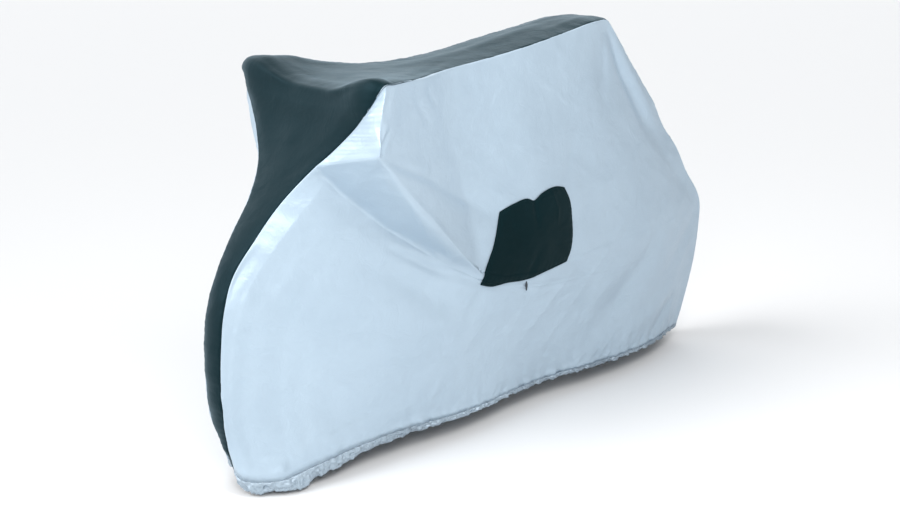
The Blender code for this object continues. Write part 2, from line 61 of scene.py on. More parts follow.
SEAM = (
    # name          x      z      half   mid_x  mid_z  lip
    ("front_hem",   0.049, 0.046, 0.008, 0.049, 0.046, 0.000),
    ("toe",         0.027, 0.115, 0.014, 0.023, 0.114, 0.000),
    ("low_tyre",    0.008, 0.200, 0.034, 0.000, 0.199, 0.000),
    ("axle",        0.001, 0.300, 0.037, -0.009, 0.300, 0.000),
    ("tyre",        0.005, 0.400, 0.040, -0.005, 0.402, 0.000),
    ("tyre_top",    0.021, 0.500, 0.040, 0.013, 0.502, 0.000),
    ("mudguard",    0.051, 0.580, 0.039, 0.046, 0.583, 0.000),
    ("fork",        0.107, 0.664, 0.053, 0.103, 0.667, 0.000),
    ("lamp",        0.173, 0.748, 0.070, 0.170, 0.751, 0.000),
    ("stem",        0.226, 0.819, 0.110, 0.221, 0.821, 0.002),
    ("brow",        0.266, 0.887, 0.175, 0.260, 0.885, 0.004),
    ("grip",        0.291, 0.950, 0.237, 0.284, 0.940, 0.008),
    ("bar_low",     0.304, 1.003, 0.281, 0.297, 0.985, 0.014),
    ("bar_end",     0.322, 1.048, 0.306, 0.316, 1.021, 0.022),
    ("bar_back",    0.372, 1.050, 0.286, 0.372, 1.034, 0.012),
    ("hollow",      0.527, 1.044, 0.197, 0.527, 1.047, 0.004),
    ("waist",       0.630, 1.046, 0.140, 0.630, 1.053, 0.002),
    ("top_tube",    0.730, 1.054, 0.120, 0.730, 1.062, 0.000),
    ("mid",         0.844, 1.068, 0.118, 0.843, 1.076, 0.000),
    ("nose",        0.960, 1.087, 0.122, 0.959, 1.097, 0.000),
    ("saddle",      1.143, 1.119, 0.113, 1.141, 1.131, 0.000),
    ("cantle",      1.275, 1.140, 0.101, 1.275, 1.150, 0.002),
    ("tail",        1.338, 1.138, 0.088, 1.346, 1.145, 0.002),
    ("tail_back",   1.380, 1.102, 0.080, 1.388, 1.108, 0.000),
    ("rack_top",    1.490, 0.988, 0.067, 1.496, 0.993, 0.000),
    ("rack",        1.609, 0.851, 0.063, 1.615, 0.856, 0.000),
    ("guard_top",   1.665, 0.777, 0.060, 1.678, 0.786, 0.000),
    ("guard",       1.738, 0.703, 0.058, 1.750, 0.714, 0.000),
    ("guard_back",  1.796, 0.620, 0.056, 1.805, 0.625, 0.000),
    ("rear_most",   1.893, 0.487, 0.052, 1.899, 0.491, 0.000),
    ("rear_tyre",   1.896, 0.405, 0.050, 1.906, 0.405, 0.000),
    ("rear_axle",   1.880, 0.280, 0.048, 1.890, 0.279, 0.000),
    ("rear_low",    1.842, 0.150, 0.046, 1.848, 0.149, 0.000),
    ("rear_hem",    1.803, 0.046, 0.044, 1.803, 0.046, 0.000),
)
HEM = (
    # side    name           x      z      out
    ("near", "front",        0.049, 0.044, 0.010),
    ("near", "toe_turn",     0.040, 0.022, 0.042),
    ("near", "corner",       0.047, 0.013, 0.066),
    ("near", "toe",          0.056, 0.013, 0.085),
    ("near", "droop",        0.081, 0.013, 0.106),
    ("near", "under_toe",    0.107, 0.014, 0.126),
    ("near", "rise",         0.136, 0.017, 0.135),
    ("near", "curl",         0.166, 0.023, 0.136),
    ("near", "front_wheel",  0.205, 0.033, 0.143),
    ("near", "wheel_mid",    0.242, 0.041, 0.148),
    ("near", "wheel_rear",   0.299, 0.048, 0.145),
    ("near", "down_tube",    0.348, 0.054, 0.145),
    ("near", "chain_front",  0.482, 0.060, 0.146),
    ("near", "pedal",        0.689, 0.060, 0.157),
    ("near", "chain",        0.779, 0.060, 0.152),
    ("near", "stay",         0.904, 0.062, 0.135),
    ("near", "stay_rear",    1.073, 0.062, 0.125),
    ("near", "rear_wheel",   1.293, 0.060, 0.138),
    ("near", "rear_hub",     1.475, 0.056, 0.132),
    ("near", "rear_tuck",    1.646, 0.052, 0.100),
    ("near", "rear_turn",    1.733, 0.050, 0.069),
    ("near", "rear",         1.803, 0.045, 0.048),
    ("far",  "front",        0.049, 0.044, 0.010),
    ("far",  "toe_turn",     0.062, 0.031, 0.034),
    ("far",  "flare",        0.112, 0.032, 0.070),
    ("far",  "wheel",        0.190, 0.044, 0.105),
    ("far",  "wheel_rear",   0.270, 0.048, 0.128),
    ("far",  "down_tube",    0.380, 0.055, 0.140),
    ("far",  "chain_front",  0.520, 0.058, 0.142),
    ("far",  "pedal",        0.690, 0.060, 0.148),
    ("far",  "stay",         0.900, 0.061, 0.136),
    ("far",  "stay_rear",    1.080, 0.060, 0.128),
    ("far",  "rear_wheel",   1.300, 0.058, 0.134),
    ("far",  "rear_hub",     1.480, 0.055, 0.128),
    ("far",  "rear_tuck",    1.650, 0.050, 0.098),
    ("far",  "rear_turn",    1.738, 0.048, 0.068),
    ("far",  "rear",         1.803, 0.045, 0.048),
)
GUIDES = (
    # line      name            at     x      z
    ("valley", "seam",          0.000, 0.232, 0.828),
    ("valley", "wedge_0",       0.045, 0.272, 0.802),
    ("valley", "wedge_1",       0.080, 0.322, 0.752),
    ("valley", "wedge_2",       0.180, 0.452, 0.646),
    ("valley", "wedge_3",       0.290, 0.620, 0.530),
    ("valley", "wedge_end",     0.370, 0.748, 0.462),
    ("valley", "pedal",         0.500, 0.960, 0.405),
    ("valley", "chain",         0.680, 1.270, 0.385),
    ("valley", "hub",           0.860, 1.610, 0.380),
    ("valley", "rear",          1.000, 1.8955, 0.395),
    ("ridge",  "seam",          0.000, 0.247, 0.851),
    ("ridge",  "apex",          0.045, 0.303, 0.885),
    ("ridge",  "wedge_1",       0.125, 0.415, 0.7835),
    ("ridge",  "wedge_2",       0.210, 0.527, 0.682),
    ("ridge",  "wedge_3",       0.295, 0.639, 0.5806),
    ("ridge",  "wedge_end",     0.380, 0.750, 0.485),
    ("ridge",  "pouch",         0.500, 0.960, 0.455),
    ("ridge",  "seat",          0.680, 1.270, 0.470),
    ("ridge",  "hub",           0.860, 1.610, 0.480),
    ("ridge",  "rear",          1.000, 1.8935, 0.484),
)
LIES = (
    # name          x      z      near   far
    ("tyre_side",   0.045, 0.200, 0.054, 0.052),
    ("fork_side",   0.100, 0.400, 0.070, 0.072),
    ("wheel_low",   0.150, 0.200, 0.098, 0.092),
    ("wheel_top",   0.200, 0.600, 0.093, 0.100),
    ("lamp_side",   0.280, 0.780, 0.134, 0.146),
    ("head",        0.380, 0.880, 0.180, 0.190),
    ("tube_low",    0.450, 0.250, 0.153, 0.148),
    ("tube_mid",    0.480, 0.600, 0.154, 0.154),
    ("tube_top",    0.600, 0.850, 0.165, 0.168),
    ("pedal_side",  0.800, 0.300, 0.166, 0.154),
    ("pouch_side",  0.900, 0.580, 0.178, 0.162),
    ("seat_front",  0.950, 0.850, 0.162, 0.156),
    ("chain_low",   1.150, 0.250, 0.150, 0.144),
    ("seat_side",   1.200, 0.600, 0.162, 0.154),
    ("seat_top",    1.250, 0.900, 0.142, 0.138),
    ("hub_side",    1.480, 0.350, 0.148, 0.144),
    ("rear_side",   1.500, 0.700, 0.120, 0.120),
    ("rear_edge",   1.740, 0.380, 0.098, 0.098),
)
APEX = (
    # side    x      z      out
    ("near", 0.303, 0.885, 0.314),
    ("far",  0.314, 0.958, 0.305),
)
TENT = (
    # side    corner         x      z      out
    ("near", "bar_end",      0.330, 1.046, 0.305),
    ("near", "facet_top",    0.300, 0.981, 0.264),
    ("near", "facet_foot",   0.246, 0.850, 0.140),
    ("near", "wedge_1",      0.322, 0.752, 0.137),
    ("near", "wedge_2",      0.452, 0.646, 0.152),
    ("near", "wedge_3",      0.620, 0.530, 0.166),
    ("near", "wedge_end",    0.750, 0.480, 0.176),
    ("near", "side",         0.680, 0.690, 0.176),
    ("near", "side_top",     0.620, 0.860, 0.166),
    ("near", "waist",        0.630, 1.046, 0.140),
    ("near", "hollow",       0.500, 1.045, 0.212),
    ("near", "bar_back",     0.380, 1.050, 0.283),
    ("far",  "bar_end",      0.330, 1.046, 0.305),
    ("far",  "grip",         0.296, 0.968, 0.254),
    ("far",  "stem",         0.240, 0.840, 0.132),
    ("far",  "down",         0.360, 0.640, 0.154),
    ("far",  "down_tube",    0.560, 0.600, 0.160),
    ("far",  "side",         0.700, 0.760, 0.166),
    ("far",  "waist",        0.640, 1.047, 0.135),
    ("far",  "hollow",       0.500, 1.045, 0.212),
)

# Soft ridges (depth over 0) and troughs along lines. width is where one is half as deep
FOLDS = (
    # side    name              x0     z0     x1     z1     depth    width
    ("near", "facet_edge",      0.3035, 0.884, 0.2985, 0.972, 0.0090, 0.0080),
    ("near", "facet_fan",       0.313, 0.900, 0.316, 0.985, -0.0070, 0.0085),
    ("near", "apex_rise",       0.309, 0.891, 0.350, 0.938, -0.0080, 0.0080),
    ("near", "grip_dip",        0.326, 0.965, 0.350, 1.018, -0.0060, 0.0200),
    ("near", "apex_fall",       0.308, 0.884, 0.560, 0.775, -0.0060, 0.0100),
    ("near", "apex_fall_lit",   0.330, 0.862, 0.540, 0.745, 0.0020, 0.0140),
    ("near", "below_wedge",     0.400, 0.560, 0.700, 0.380, -0.010, 0.035),
    ("near", "wedge_hollow",    0.380, 0.725, 0.640, 0.540, -0.0040, 0.0200),
    ("near", "wedge_brow",      0.345, 0.815, 0.640, 0.552, 0.0175,  0.0180),
    ("near", "wedge_foot",      0.258, 0.822, 0.462, 0.648, -0.0070, 0.0100),
    ("near", "wedge_foot_2",    0.420, 0.682, 0.690, 0.508, -0.0070, 0.0100),
    ("near", "under_roll",      0.440, 0.632, 0.625, 0.522, 0.0050, 0.0120),
    ("near", "under_line",      0.450, 0.604, 0.640, 0.492, -0.0050, 0.0100),
    ("near", "pouch_pull",      0.520, 0.800, 0.810, 0.640, -0.008, 0.030),
    ("near", "pouch_pull_thin", 0.560, 0.765, 0.825, 0.635, -0.0030, 0.0110),
    ("near", "saddle_fall",     1.335, 1.100, 1.535, 0.790, -0.016, 0.022),
    ("near", "saddle_ridge",    1.385, 1.075, 1.600, 0.790, 0.009,  0.020),
    ("near", "saddle_drop",     1.290, 1.090, 1.280, 0.900, -0.006, 0.025),
    ("near", "saddle_drop_2",   1.315, 1.120, 1.300, 0.960, -0.0030, 0.0090),
    ("near", "tail_pull",       1.345, 1.105, 1.440, 0.930, -0.0040, 0.0085),
    ("near", "hub_diagonal",    1.560, 0.420, 1.270, 0.190, -0.017, 0.042),
    ("near", "rear_light",      1.700, 0.220, 1.430, 0.135, 0.010,  0.028),
    ("near", "rear_dark",       1.720, 0.175, 1.580, 0.090, -0.009, 0.020),
    ("near", "rear_pull",       1.880, 0.455, 1.640, 0.300, -0.007, 0.030),
    ("near", "rear_pull_up",    1.870, 0.500, 1.700, 0.620, -0.005, 0.028),
    ("near", "bar_streak",      0.480, 1.010, 0.560, 0.920, -0.0030, 0.0120),
    ("near", "bar_streak_2",    0.545, 1.020, 0.600, 0.960, -0.0025, 0.0100),
    ("near", "front_crease",    0.028, 0.535, 0.110, 0.640, -0.0050, 0.0100),
    ("near", "front_crease_up", 0.060, 0.560, 0.170, 0.690, 0.0018,  0.0140),
    ("near", "front_wrinkle",   0.018, 0.462, 0.190, 0.430, -0.0026, 0.0090),
    ("near", "front_wrinkle_2", 0.018, 0.396, 0.165, 0.362, -0.0024, 0.0080),
    ("near", "front_wrinkle_3", 0.014, 0.310, 0.145, 0.296, -0.0022, 0.0080),
    ("near", "saddle_fall_low", 1.480, 0.885, 1.700, 0.640, -0.0060, 0.0240),
    ("near", "toe_hollow",      0.060, 0.150, 0.130, 0.085, -0.008, 0.030),
    ("near", "toe_roll",        0.170, 0.120, 0.420, 0.110, 0.005,  0.028),
    ("near", "low_wave",        0.300, 0.300, 0.640, 0.240, -0.0030, 0.022),
    ("near", "low_wave_2",      0.250, 0.410, 0.480, 0.370, -0.0022, 0.018),
    ("near", "pouch_foot",      0.760, 0.440, 0.690, 0.330, -0.0040, 0.020),
    ("near", "pouch_heel",      1.105, 0.455, 1.230, 0.380, -0.0040, 0.018),
    ("near", "pouch_crown",     1.090, 0.700, 1.150, 0.840, -0.0025, 0.016),
    ("far",  "apex_to_grip",    0.316, 0.880, 0.303, 0.975, -0.012, 0.018),
    ("far",  "down_tube_pull",  0.420, 0.560, 0.820, 0.300, -0.012, 0.040),
    ("far",  "saddle_fall",     1.310, 1.070, 1.500, 0.760, -0.010, 0.026),
    ("far",  "hub_diagonal",    1.600, 0.460, 1.300, 0.200, -0.010, 0.050),
    ("far",  "front_wheel_arc", 0.170, 0.560, 0.420, 0.250, 0.006,  0.045),
    ("far",  "bar_pull",        0.350, 0.940, 0.720, 0.760, -0.006, 0.024),
    ("far",  "bar_drop",        0.330, 0.920, 0.480, 0.620, 0.005,  0.022),
    ("far",  "seat_pull",       1.290, 1.080, 1.200, 0.780, -0.005, 0.026),
    ("far",  "rear_pull",       1.870, 0.450, 1.620, 0.330, -0.006, 0.030),
    ("far",  "middle_sag",      0.640, 0.700, 1.180, 0.560, -0.006, 0.050),
)
POUCH = (
    # side      name            x      z
    ("left",   "upper_left",    0.826, 0.645),
    ("left",   "left_high",     0.812, 0.600),
    ("left",   "left_mid",      0.797, 0.556),
    ("left",   "left_low",      0.768, 0.495),
    ("left",   "lower_left",    0.748, 0.450),
    ("bottom", "lower_left",    0.748, 0.450),
    ("bottom", "bottom_1",      0.785, 0.438),
    ("bottom", "bottom_2",      0.845, 0.438),
    ("bottom", "pull",          0.920, 0.433),
    ("bottom", "bottom_3",      1.000, 0.444),
    ("bottom", "lower_right",   1.092, 0.454),
    ("right",  "lower_right",   1.092, 0.454),
    ("right",  "right_low",     1.108, 0.500),
    ("right",  "right_mid",     1.112, 0.560),
    ("right",  "right_high",    1.102, 0.635),
    ("right",  "upper_right",   1.078, 0.680),
    ("top",    "upper_left",    0.826, 0.645),
    ("top",    "top_left",      0.880, 0.664),
    ("top",    "brow_left",     0.928, 0.669),
    ("top",    "notch",         0.948, 0.661),
    ("top",    "brow_right",    0.980, 0.677),
    ("top",    "crest",         1.040, 0.688),
    ("top",    "upper_right",   1.078, 0.680),
)


# ---------------------------------------------------------------- lines
def columns(rows, *wanted):
    return np.array([[row[i] for i in wanted] for row in rows], float)


def of_side(rows, side):
    return [row for row in rows if row[0] == side]


def smooth_line(points):
    """A dense line through the points, with the tangents of a parabola through each three."""
    gap = np.linalg.norm(np.diff(points, axis=0), axis=1)[:, None]
    slope = np.diff(points, axis=0) / gap
    lean = np.empty_like(points)
    lean[1:-1] = (slope[:-1] * gap[1:] + slope[1:] * gap[:-1]) / (gap[1:] + gap[:-1])
    lean[0] = 1.5 * slope[0] - 0.5 * lean[1]
    lean[-1] = 1.5 * slope[-1] - 0.5 * lean[-2]
    t = np.linspace(0, 1, ROW_STEPS, endpoint=False)[:, None]
    spans = [
        (2 * t**3 - 3 * t**2 + 1) * points[i]
        + (t**3 - 2 * t**2 + t) * gap[i] * lean[i]
        + (3 * t**2 - 2 * t**3) * points[i + 1]
        + (t**3 - t**2) * gap[i] * lean[i + 1]
        for i in range(len(gap))
    ]
    return np.concatenate([*spans, points[-1:]])


def along(line, shares):
    """The line's values at these shares of its length, which its first three columns give."""
    step = np.linalg.norm(np.diff(line[:, :3], axis=0), axis=1)
    run = np.concatenate([[0], np.cumsum(step)])
    return np.stack(
        [np.interp(shares, run / run[-1], line[:, i]) for i in range(line.shape[1])], -1
    )


def seam_lines():
    """The seam's front, top and rear stretch, each as x, z, half, mid_x, mid_z, lip. Front and rear run upwards."""
    line = smooth_line(columns(SEAM, 1, 2, 3, 4, 5, 6))
    names = [row[0] for row in SEAM]
    bar = names.index("bar_end") * ROW_STEPS
    tail = names.index("tail") * ROW_STEPS
    return line[: bar + 1], line[bar : tail + 1], line[tail:][::-1]


def guide_line(name):
    rows = columns(of_side(GUIDES, name), 3, 4, 2)
    bent = smooth_line(rows)
    straight = np.stack(
        [np.interp(bent[:, 2], rows[:, 2], rows[:, i]) for i in range(3)], -1
    )
    eased = np.clip((bent[:, 2:3] - 0.37) / 0.06, 0, 1)
    return straight + (bent - straight) * eased


def share_near(line, point):
    step = np.linalg.norm(np.diff(line[:, :3], axis=0), axis=1)
    run = np.concatenate([[0], np.cumsum(step)])
    return run[np.linalg.norm(line[:, :2] - point, axis=1).argmin()] / run[-1]


def hem_line(side):
    return smooth_line(columns(of_side(HEM, side), 2, 3, 4))


def patch(left, right, bottom, top, u, v):
    """Points inside four edge lines. left and right are given at v, bottom and top at u."""
    u, v = u[None, :, None], v[:, None, None]
    ruled = (
        (1 - u) * left[:, None] + u * right[:, None] + (1 - v) * bottom + v * top
    )
    corners = (
        (1 - u) * (1 - v) * bottom[0]
        + u * (1 - v) * bottom[-1]
        + (1 - u) * v * top[0]
        + u * v * top[-1]
    )
    return ruled - corners


def panel_plan(side, u, v):
    """Where a panel's points lie seen from its side, and its edges at u and v. u and v may be any shares."""
    front, top, rear = seam_lines()
    marks = [0.0, VALLEY_AT, RIDGE_AT, 1.0]
    guides = [guide_line("valley"), guide_line("ridge")]
    ends = {
        which: [0.0, *(share_near(line, g[end, :2]) for g in guides), 1.0]
        for which, line, end in (("left", front, 0), ("right", rear, -1))
    }
    full = np.array([0.0, 1.0])

    def side_line(which, at):
        line = front if which == "left" else rear
        return along(line, np.interp(at, marks, ends[which]))[:, :3]

    left, right = side_line("left", v), side_line("right", v)
    hem, crest = along(hem_line(side), u)[:, :3], along(top, u)[:, :3]

    def across(i, at):
        if i == 0:
            return along(hem_line(side), at)[:, :2]
        if i == 3:
            return along(top, at)[:, :2]
        guide = guides[i - 1]
        line = np.stack([np.interp(at, guide[:, 2], guide[:, j]) for j in (0, 1)], -1)
        where = np.array([marks[i]])
        line[at <= 0] = side_line("left", where)[0, :2]
        line[at >= 1] = side_line("right", where)[0, :2]
        return line

    flat = np.empty((len(v), len(u), 2))
    for i in range(3):
        low, high = marks[i], marks[i + 1]
        rows = np.nonzero((v >= low - 1e-9) & (v <= high + 1e-9))[0]
        if not len(rows):
            continue
        share = ((v[rows] - low) / (high - low))[:, None, None]
        at = u[None, :, None]
        bottom, roof = across(i, u), across(i + 1, u)
        b0, b1 = across(i, full)
        t0, t1 = across(i + 1, full)
        flat[rows] = (
            (1 - at) * left[rows, None, :2]
            + at * right[rows, None, :2]
            + (1 - share) * bottom
            + share * roof
            - (1 - at) * (1 - share) * b0
            - at * (1 - share) * b1
            - (1 - at) * share * t0
            - at * share * t1
        )
    return flat, left, right, hem, crest


# ---------------------------------------------------------------- how far out the cloth lies
def bend(r):
    return r**2 * np.log(np.maximum(r, 1e-9))


def plate_through(spots, values):
    n = len(spots)
    r = np.linalg.norm(spots[:, None] - spots[None], axis=2)
    flat = np.column_stack([np.ones(n), spots])
    rows = np.block([[bend(r), flat], [flat.T, np.zeros((3, 3))]])
    return np.linalg.solve(rows, np.concatenate([values, np.zeros(3)]))


def plate_at(weights, spots, at):
    n = len(spots)
    found = np.empty(len(at))
    for start in range(0, len(at), 8192):
        part = at[start : start + 8192]
        r = np.linalg.norm(part[:, None] - spots[None], axis=2)
        found[start : start + 8192] = (
            bend(r) @ weights[:n] + weights[n] + part @ weights[n + 1 :]
        )
    return found


def side_sheet(side):
    u, v = np.linspace(0, 1, 41), np.linspace(0, 1, 31)
    flat, left, right, low, high = panel_plan(side, u, v)
    lies = columns(LIES, 1, 2, 3 if side == "near" else 4)
    nearest = [
        np.linalg.norm(flat - row[:2], axis=2).reshape(-1).argmin() for row in lies
    ]
    grid = np.stack(np.meshgrid(u, v), -1)
    spots = np.concatenate(
        [grid[:, 0], grid[:, -1], grid[0, 1:-1], grid[-1, 1:-1]]
        + [grid.reshape(-1, 2)[nearest]]
    )
    values = np.concatenate(
        [left[:, 2], right[:, 2], low[1:-1, 2], high[1:-1, 2], lies[:, 2]]
    )
    spots = spots * np.array(PANEL_SIZE)
    return plate_through(spots, values), spots


def tent(side, at):
    peak = columns(of_side(APEX, side), 1, 2, 3)[0]
    rim = columns(of_side(TENT, side), 2, 3, 4) - peak
    p = at - peak[:2]
    found = np.full(len(at), peak[2])
    for a, b in zip(rim, np.roll(rim, -1, axis=0)):
        det = a[0] * b[1] - a[1] * b[0]
        s = (p[:, 0] * b[1] - p[:, 1] * b[0]) / det
        t = (a[0] * p[:, 1] - a[1] * p[:, 0]) / det
        inside = (s >= -1e-12) & (t >= -1e-12)
        found[inside] = peak[2] + s[inside] * a[2] + t[inside] * b[2]
    return found


def soft_tent(side, at):
    rings = [(0.0, 0.0)] + [
        (size * math.cos(turn), size * math.sin(turn))
        for size in (SOFT / 2, SOFT)
        for turn in np.arange(6) * math.pi / 3 + size
    ]
    return sum(tent(side, at + np.array(step)) for step in rings) / len(rings)


def folds(side, at):
    found = np.zeros(len(at))
    for which, _, x0, z0, x1, z1, depth, width in FOLDS:
        if which != side:
            continue
        start, run = np.array((x0, z0)), np.array((x1 - x0, z1 - z0))
        share = np.clip((at - start) @ run / (run @ run), 0, 1)
        off = np.linalg.norm(at - start - share[:, None] * run, axis=1)
        fade = np.sin(math.pi * np.clip(0.12 + 0.76 * share, 0, 1))
        found += depth * fade * 0.5 ** ((off / width) ** 2)
    return found


def panel_points(side, u, v):
    """The outer face of a side panel without its fine detail, and its points' distance from seam and hem."""
    flat, left, right, low, high = panel_plan(side, u, v)
    weights, spots = side_sheet(side)
    size = np.array(PANEL_SIZE)
    grid = np.stack(np.meshgrid(u, v), -1).reshape(-1, 2) * size
    out = plate_at(weights, spots, grid)
    to_left = np.linalg.norm(flat - left[:, None, :2], axis=2)
    to_right = np.linalg.norm(flat - right[:, None, :2], axis=2)
    to_top = np.linalg.norm(flat - high[None, :, :2], axis=2)
    to_hem = np.linalg.norm(flat - low[None, :, :2], axis=2)
    to_seam = np.minimum(np.minimum(to_left, to_right), to_top)
    edge = np.clip(to_seam / 0.012, 0, 1) * np.clip(to_hem / 0.03, 0, 1)
    at = flat.reshape(-1, 2)
    over = soft_tent(side, at) - out
    raised = (over + np.sqrt(over**2 + BLEND**2)) / 2
    out = out + (raised + folds(side, at)) * edge.reshape(-1)
    out = out.reshape(flat.shape[:2])
    # the plate meets the edges only at its spots; between them the rest is handed out from the edges
    ends = np.array([0.0, 1.0])
    corner_u, corner_v = np.meshgrid(ends, ends)
    corner = plate_at(
        weights, spots, np.stack([corner_u, corner_v], -1).reshape(-1, 2) * size
    ).reshape(2, 2)
    edge_v = np.stack([np.zeros_like(v), v], -1) * size
    edge_v1 = np.stack([np.ones_like(v), v], -1) * size
    edge_u = np.stack([u, np.zeros_like(u)], -1) * size
    edge_u1 = np.stack([u, np.ones_like(u)], -1) * size
    miss_left = left[:, 2] - plate_at(weights, spots, edge_v)
    miss_right = right[:, 2] - plate_at(weights, spots, edge_v1)
    miss_low = low[:, 2] - plate_at(weights, spots, edge_u)
    miss_high = high[:, 2] - plate_at(weights, spots, edge_u1)
    at_u, at_v = u[None, :], v[:, None]
    out = (
        out
        + (1 - at_u) * miss_left[:, None]
        + at_u * miss_right[:, None]
        + (1 - at_v) * miss_low[None]
        + at_v * miss_high[None]
    )
    sign = -1 if side == "near" else 1
    points = np.stack([flat[..., 0], sign * out, flat[..., 1]], -1)
    return points, (to_left, to_right, to_top, to_hem)


def strip_points(rows, across):
    run = np.gradient(rows[:, :2], axis=0)
    run /= np.linalg.norm(run, axis=1, keepdims=True)
    facing = np.stack([-run[:, 1], run[:, 0]], -1)[:, None]
    t2 = across[None, :, None] ** 2
    flat = (
        rows[:, None, :2]
        + (rows[:, None, 3:5] - rows[:, None, :2]) * (1 - t2)
        + facing * rows[:, None, 5:6] * 6.75 * t2**2 * (1 - t2)
    )
    return np.stack([flat[..., 0], rows[:, 2:3] * across, flat[..., 1]], -1)


# ---------------------------------------------------------------- uneven cloth
def wander(run, pitch, seed, sharp=1.0):
    """A smooth uneven wave from -1 to 1 along run, about pitch from crest to crest."""
    rng = np.random.default_rng(seed)
    knots = np.arange(np.min(run) - pitch, np.max(run) + 2 * pitch, pitch / 2)
    places = knots + rng.uniform(-0.16, 0.16, len(knots)) * pitch
    signs = np.where(np.arange(len(knots)) % 2 == 0, 1.0, -1.0)
    heights = signs * rng.uniform(0.25, 1.0, len(knots))
    i = np.clip(np.searchsorted(places, run) - 1, 0, len(places) - 2)
    t = np.clip((run - places[i]) / (places[i + 1] - places[i]), 0, 1)
    t = t * t * (3 - 2 * t)
    found = heights[i] * (1 - t) + heights[i + 1] * t
    return np.sign(found) * np.abs(found) ** sharp


def drift(x, y, pitch_x, pitch_y, seed, turn=0.0):
    """A smooth uneven field from -1 to 1 over x and y."""
    rng = np.random.default_rng(seed)
    c, s = math.cos(turn), math.sin(turn)
    a, b = (x * c + y * s) / pitch_x, (-x * s + y * c) / pitch_y
    a0, b0 = np.floor(a.min()) - 1, np.floor(b.min()) - 1
    table = rng.uniform(
        -1, 1, (int(a.max() - a0) + 3, int(b.max() - b0) + 3)
    )
    a, b = a - a0, b - b0
    i, j = a.astype(int), b.astype(int)
    f, g = a - i, b - j
    f, g = f * f * f * (f * (f * 6 - 15) + 10), g * g * g * (g * (g * 6 - 15) + 10)
    return (
        table[i, j] * (1 - f) * (1 - g)
        + table[i + 1, j] * f * (1 - g)
        + table[i, j + 1] * (1 - f) * g
        + table[i + 1, j + 1] * f * g
    )


def crease(x, y, pitch_x, pitch_y, seed, turn=0.0):
    """Crumpled cloth: like drift, with crisp ridges where it would cross nought."""
    return 1 - 2 * np.sqrt(drift(x, y, pitch_x, pitch_y, seed, turn) ** 2 + 0.0025)


def fade(distance, reach):
    return np.exp(-distance / reach)


# Corners that stand out a little further than their patches: where, which way, and how far round
TUGS = (
    # name          x      y       z      push_x  push_y  push_z  reach
    ("far_peak",    0.330, 0.282,  1.064, -0.004, 0.005,  0.005,  0.024),
    ("far_corner",  0.322, 0.306,  1.046, -0.006, 0.006,  -0.003, 0.022),
    ("far_shoulder", 0.350, 0.225, 1.054, -0.004, 0.000,  0.015,  0.050),
    ("far_brow",    0.356, 0.160,  1.048, -0.004, 0.000,  0.011,  0.060),
    ("far_ridge",   0.415, 0.238,  1.054, 0.000,  0.000,  0.012,  0.045),
    ("far_ridge_2", 0.455, 0.215,  1.052, 0.000,  0.000,  0.009,  0.045),
    ("far_ridge_3", 0.512, 0.183,  1.049, 0.000,  0.000,  0.006,  0.045),
    ("near_cheek",  0.3045, -0.270, 0.980, -0.0060, -0.0080, 0.0015, 0.038),
)


def tug(points):
    moved = points.copy()
    for _, x, y, z, push_x, push_y, push_z, reach in TUGS:
        off = np.linalg.norm(points - np.array((x, y, z)), axis=-1)
        moved += np.array((push_x, push_y, push_z)) * np.exp(-((off / reach) ** 2))[..., None]
    return moved


def run_of(points):
    step = np.linalg.norm(np.diff(points, axis=0), axis=1)
    return np.concatenate([[0], np.cumsum(step)])


def facing_of(points, sign):
    """Unit normals of a grid of points, pointing to the side that sign gives."""
    du, dv = np.gradient(points, axis=1), np.gradient(points, axis=0)
    normal = np.cross(du, dv) * sign
    return normal / np.maximum(np.linalg.norm(normal, axis=2, keepdims=True), 1e-12)


# ---------------------------------------------------------------- objects
def cloth_object(name, points, finish, flip=False, map_size=None, closed=False):
    """A mesh over a grid of points, with a map in metres along and up it."""
    rows, spans = points.shape[:2]
    mesh = bpy.data.meshes.new(name)
    index = np.arange(rows * spans).reshape(rows, spans)
    a, b, c, d = index[:-1, :-1], index[:-1, 1:], index[1:, 1:], index[1:, :-1]
    quads = np.stack([a, b, c, d] if not flip else [a, d, c, b], -1).reshape(-1, 4)
    if closed:
        a, b, c, d = index[-1, :-1], index[-1, 1:], index[0, 1:], index[0, :-1]
        more = np.stack([a, b, c, d] if not flip else [a, d, c, b], -1).reshape(-1, 4)
        quads = np.concatenate([quads, more])
    mesh.from_pydata((points - ORIGIN).reshape(-1, 3), [], quads.tolist())
    along_u = np.concatenate([[0], np.cumsum(np.linalg.norm(np.diff(points, axis=1), axis=2).mean(0))])
    along_v = np.concatenate([[0], np.cumsum(np.linalg.norm(np.diff(points, axis=0), axis=2).mean(1))])
    grid = np.stack(np.meshgrid(along_u, along_v), -1).reshape(-1, 2)
    layer = mesh.uv_layers.new(name="cloth")
    corner = np.empty(len(mesh.loops), int)
    mesh.loops.foreach_get("vertex_index", corner)
    layer.uv.foreach_set("vector", grid[corner].astype(np.float32).reshape(-1))
    mesh.shade_smooth()
    mesh.materials.append(finish)
    piece = bpy.data.objects.new(name, mesh)
    bpy.context.scene.collection.objects.link(piece)
    return piece


def edge_steps(count, length):
    """Shares from 0 to 1 with a few close ones at both ends."""
    close = np.array([0.0012, 0.0026, 0.0046, 0.0072]) / length
    middle = np.linspace(0.0108 / length, 1 - 0.0108 / length, count)
    return np.concatenate([[0], close, middle, 1 - close[::-1], [1]])


def with_row(values, wanted):
    """The nearest inner value is moved to each wanted one."""
    values = values.copy()
    for want in wanted:
        values[np.abs(values - want).argmin()] = want
    return values


def sewn_in(distance):
    """How deep the cloth goes in next to its sewn edge: rounded over, then down into the seam."""
    return 0.0018 * np.clip(1 - distance / 0.0040, 0, 1) ** 2


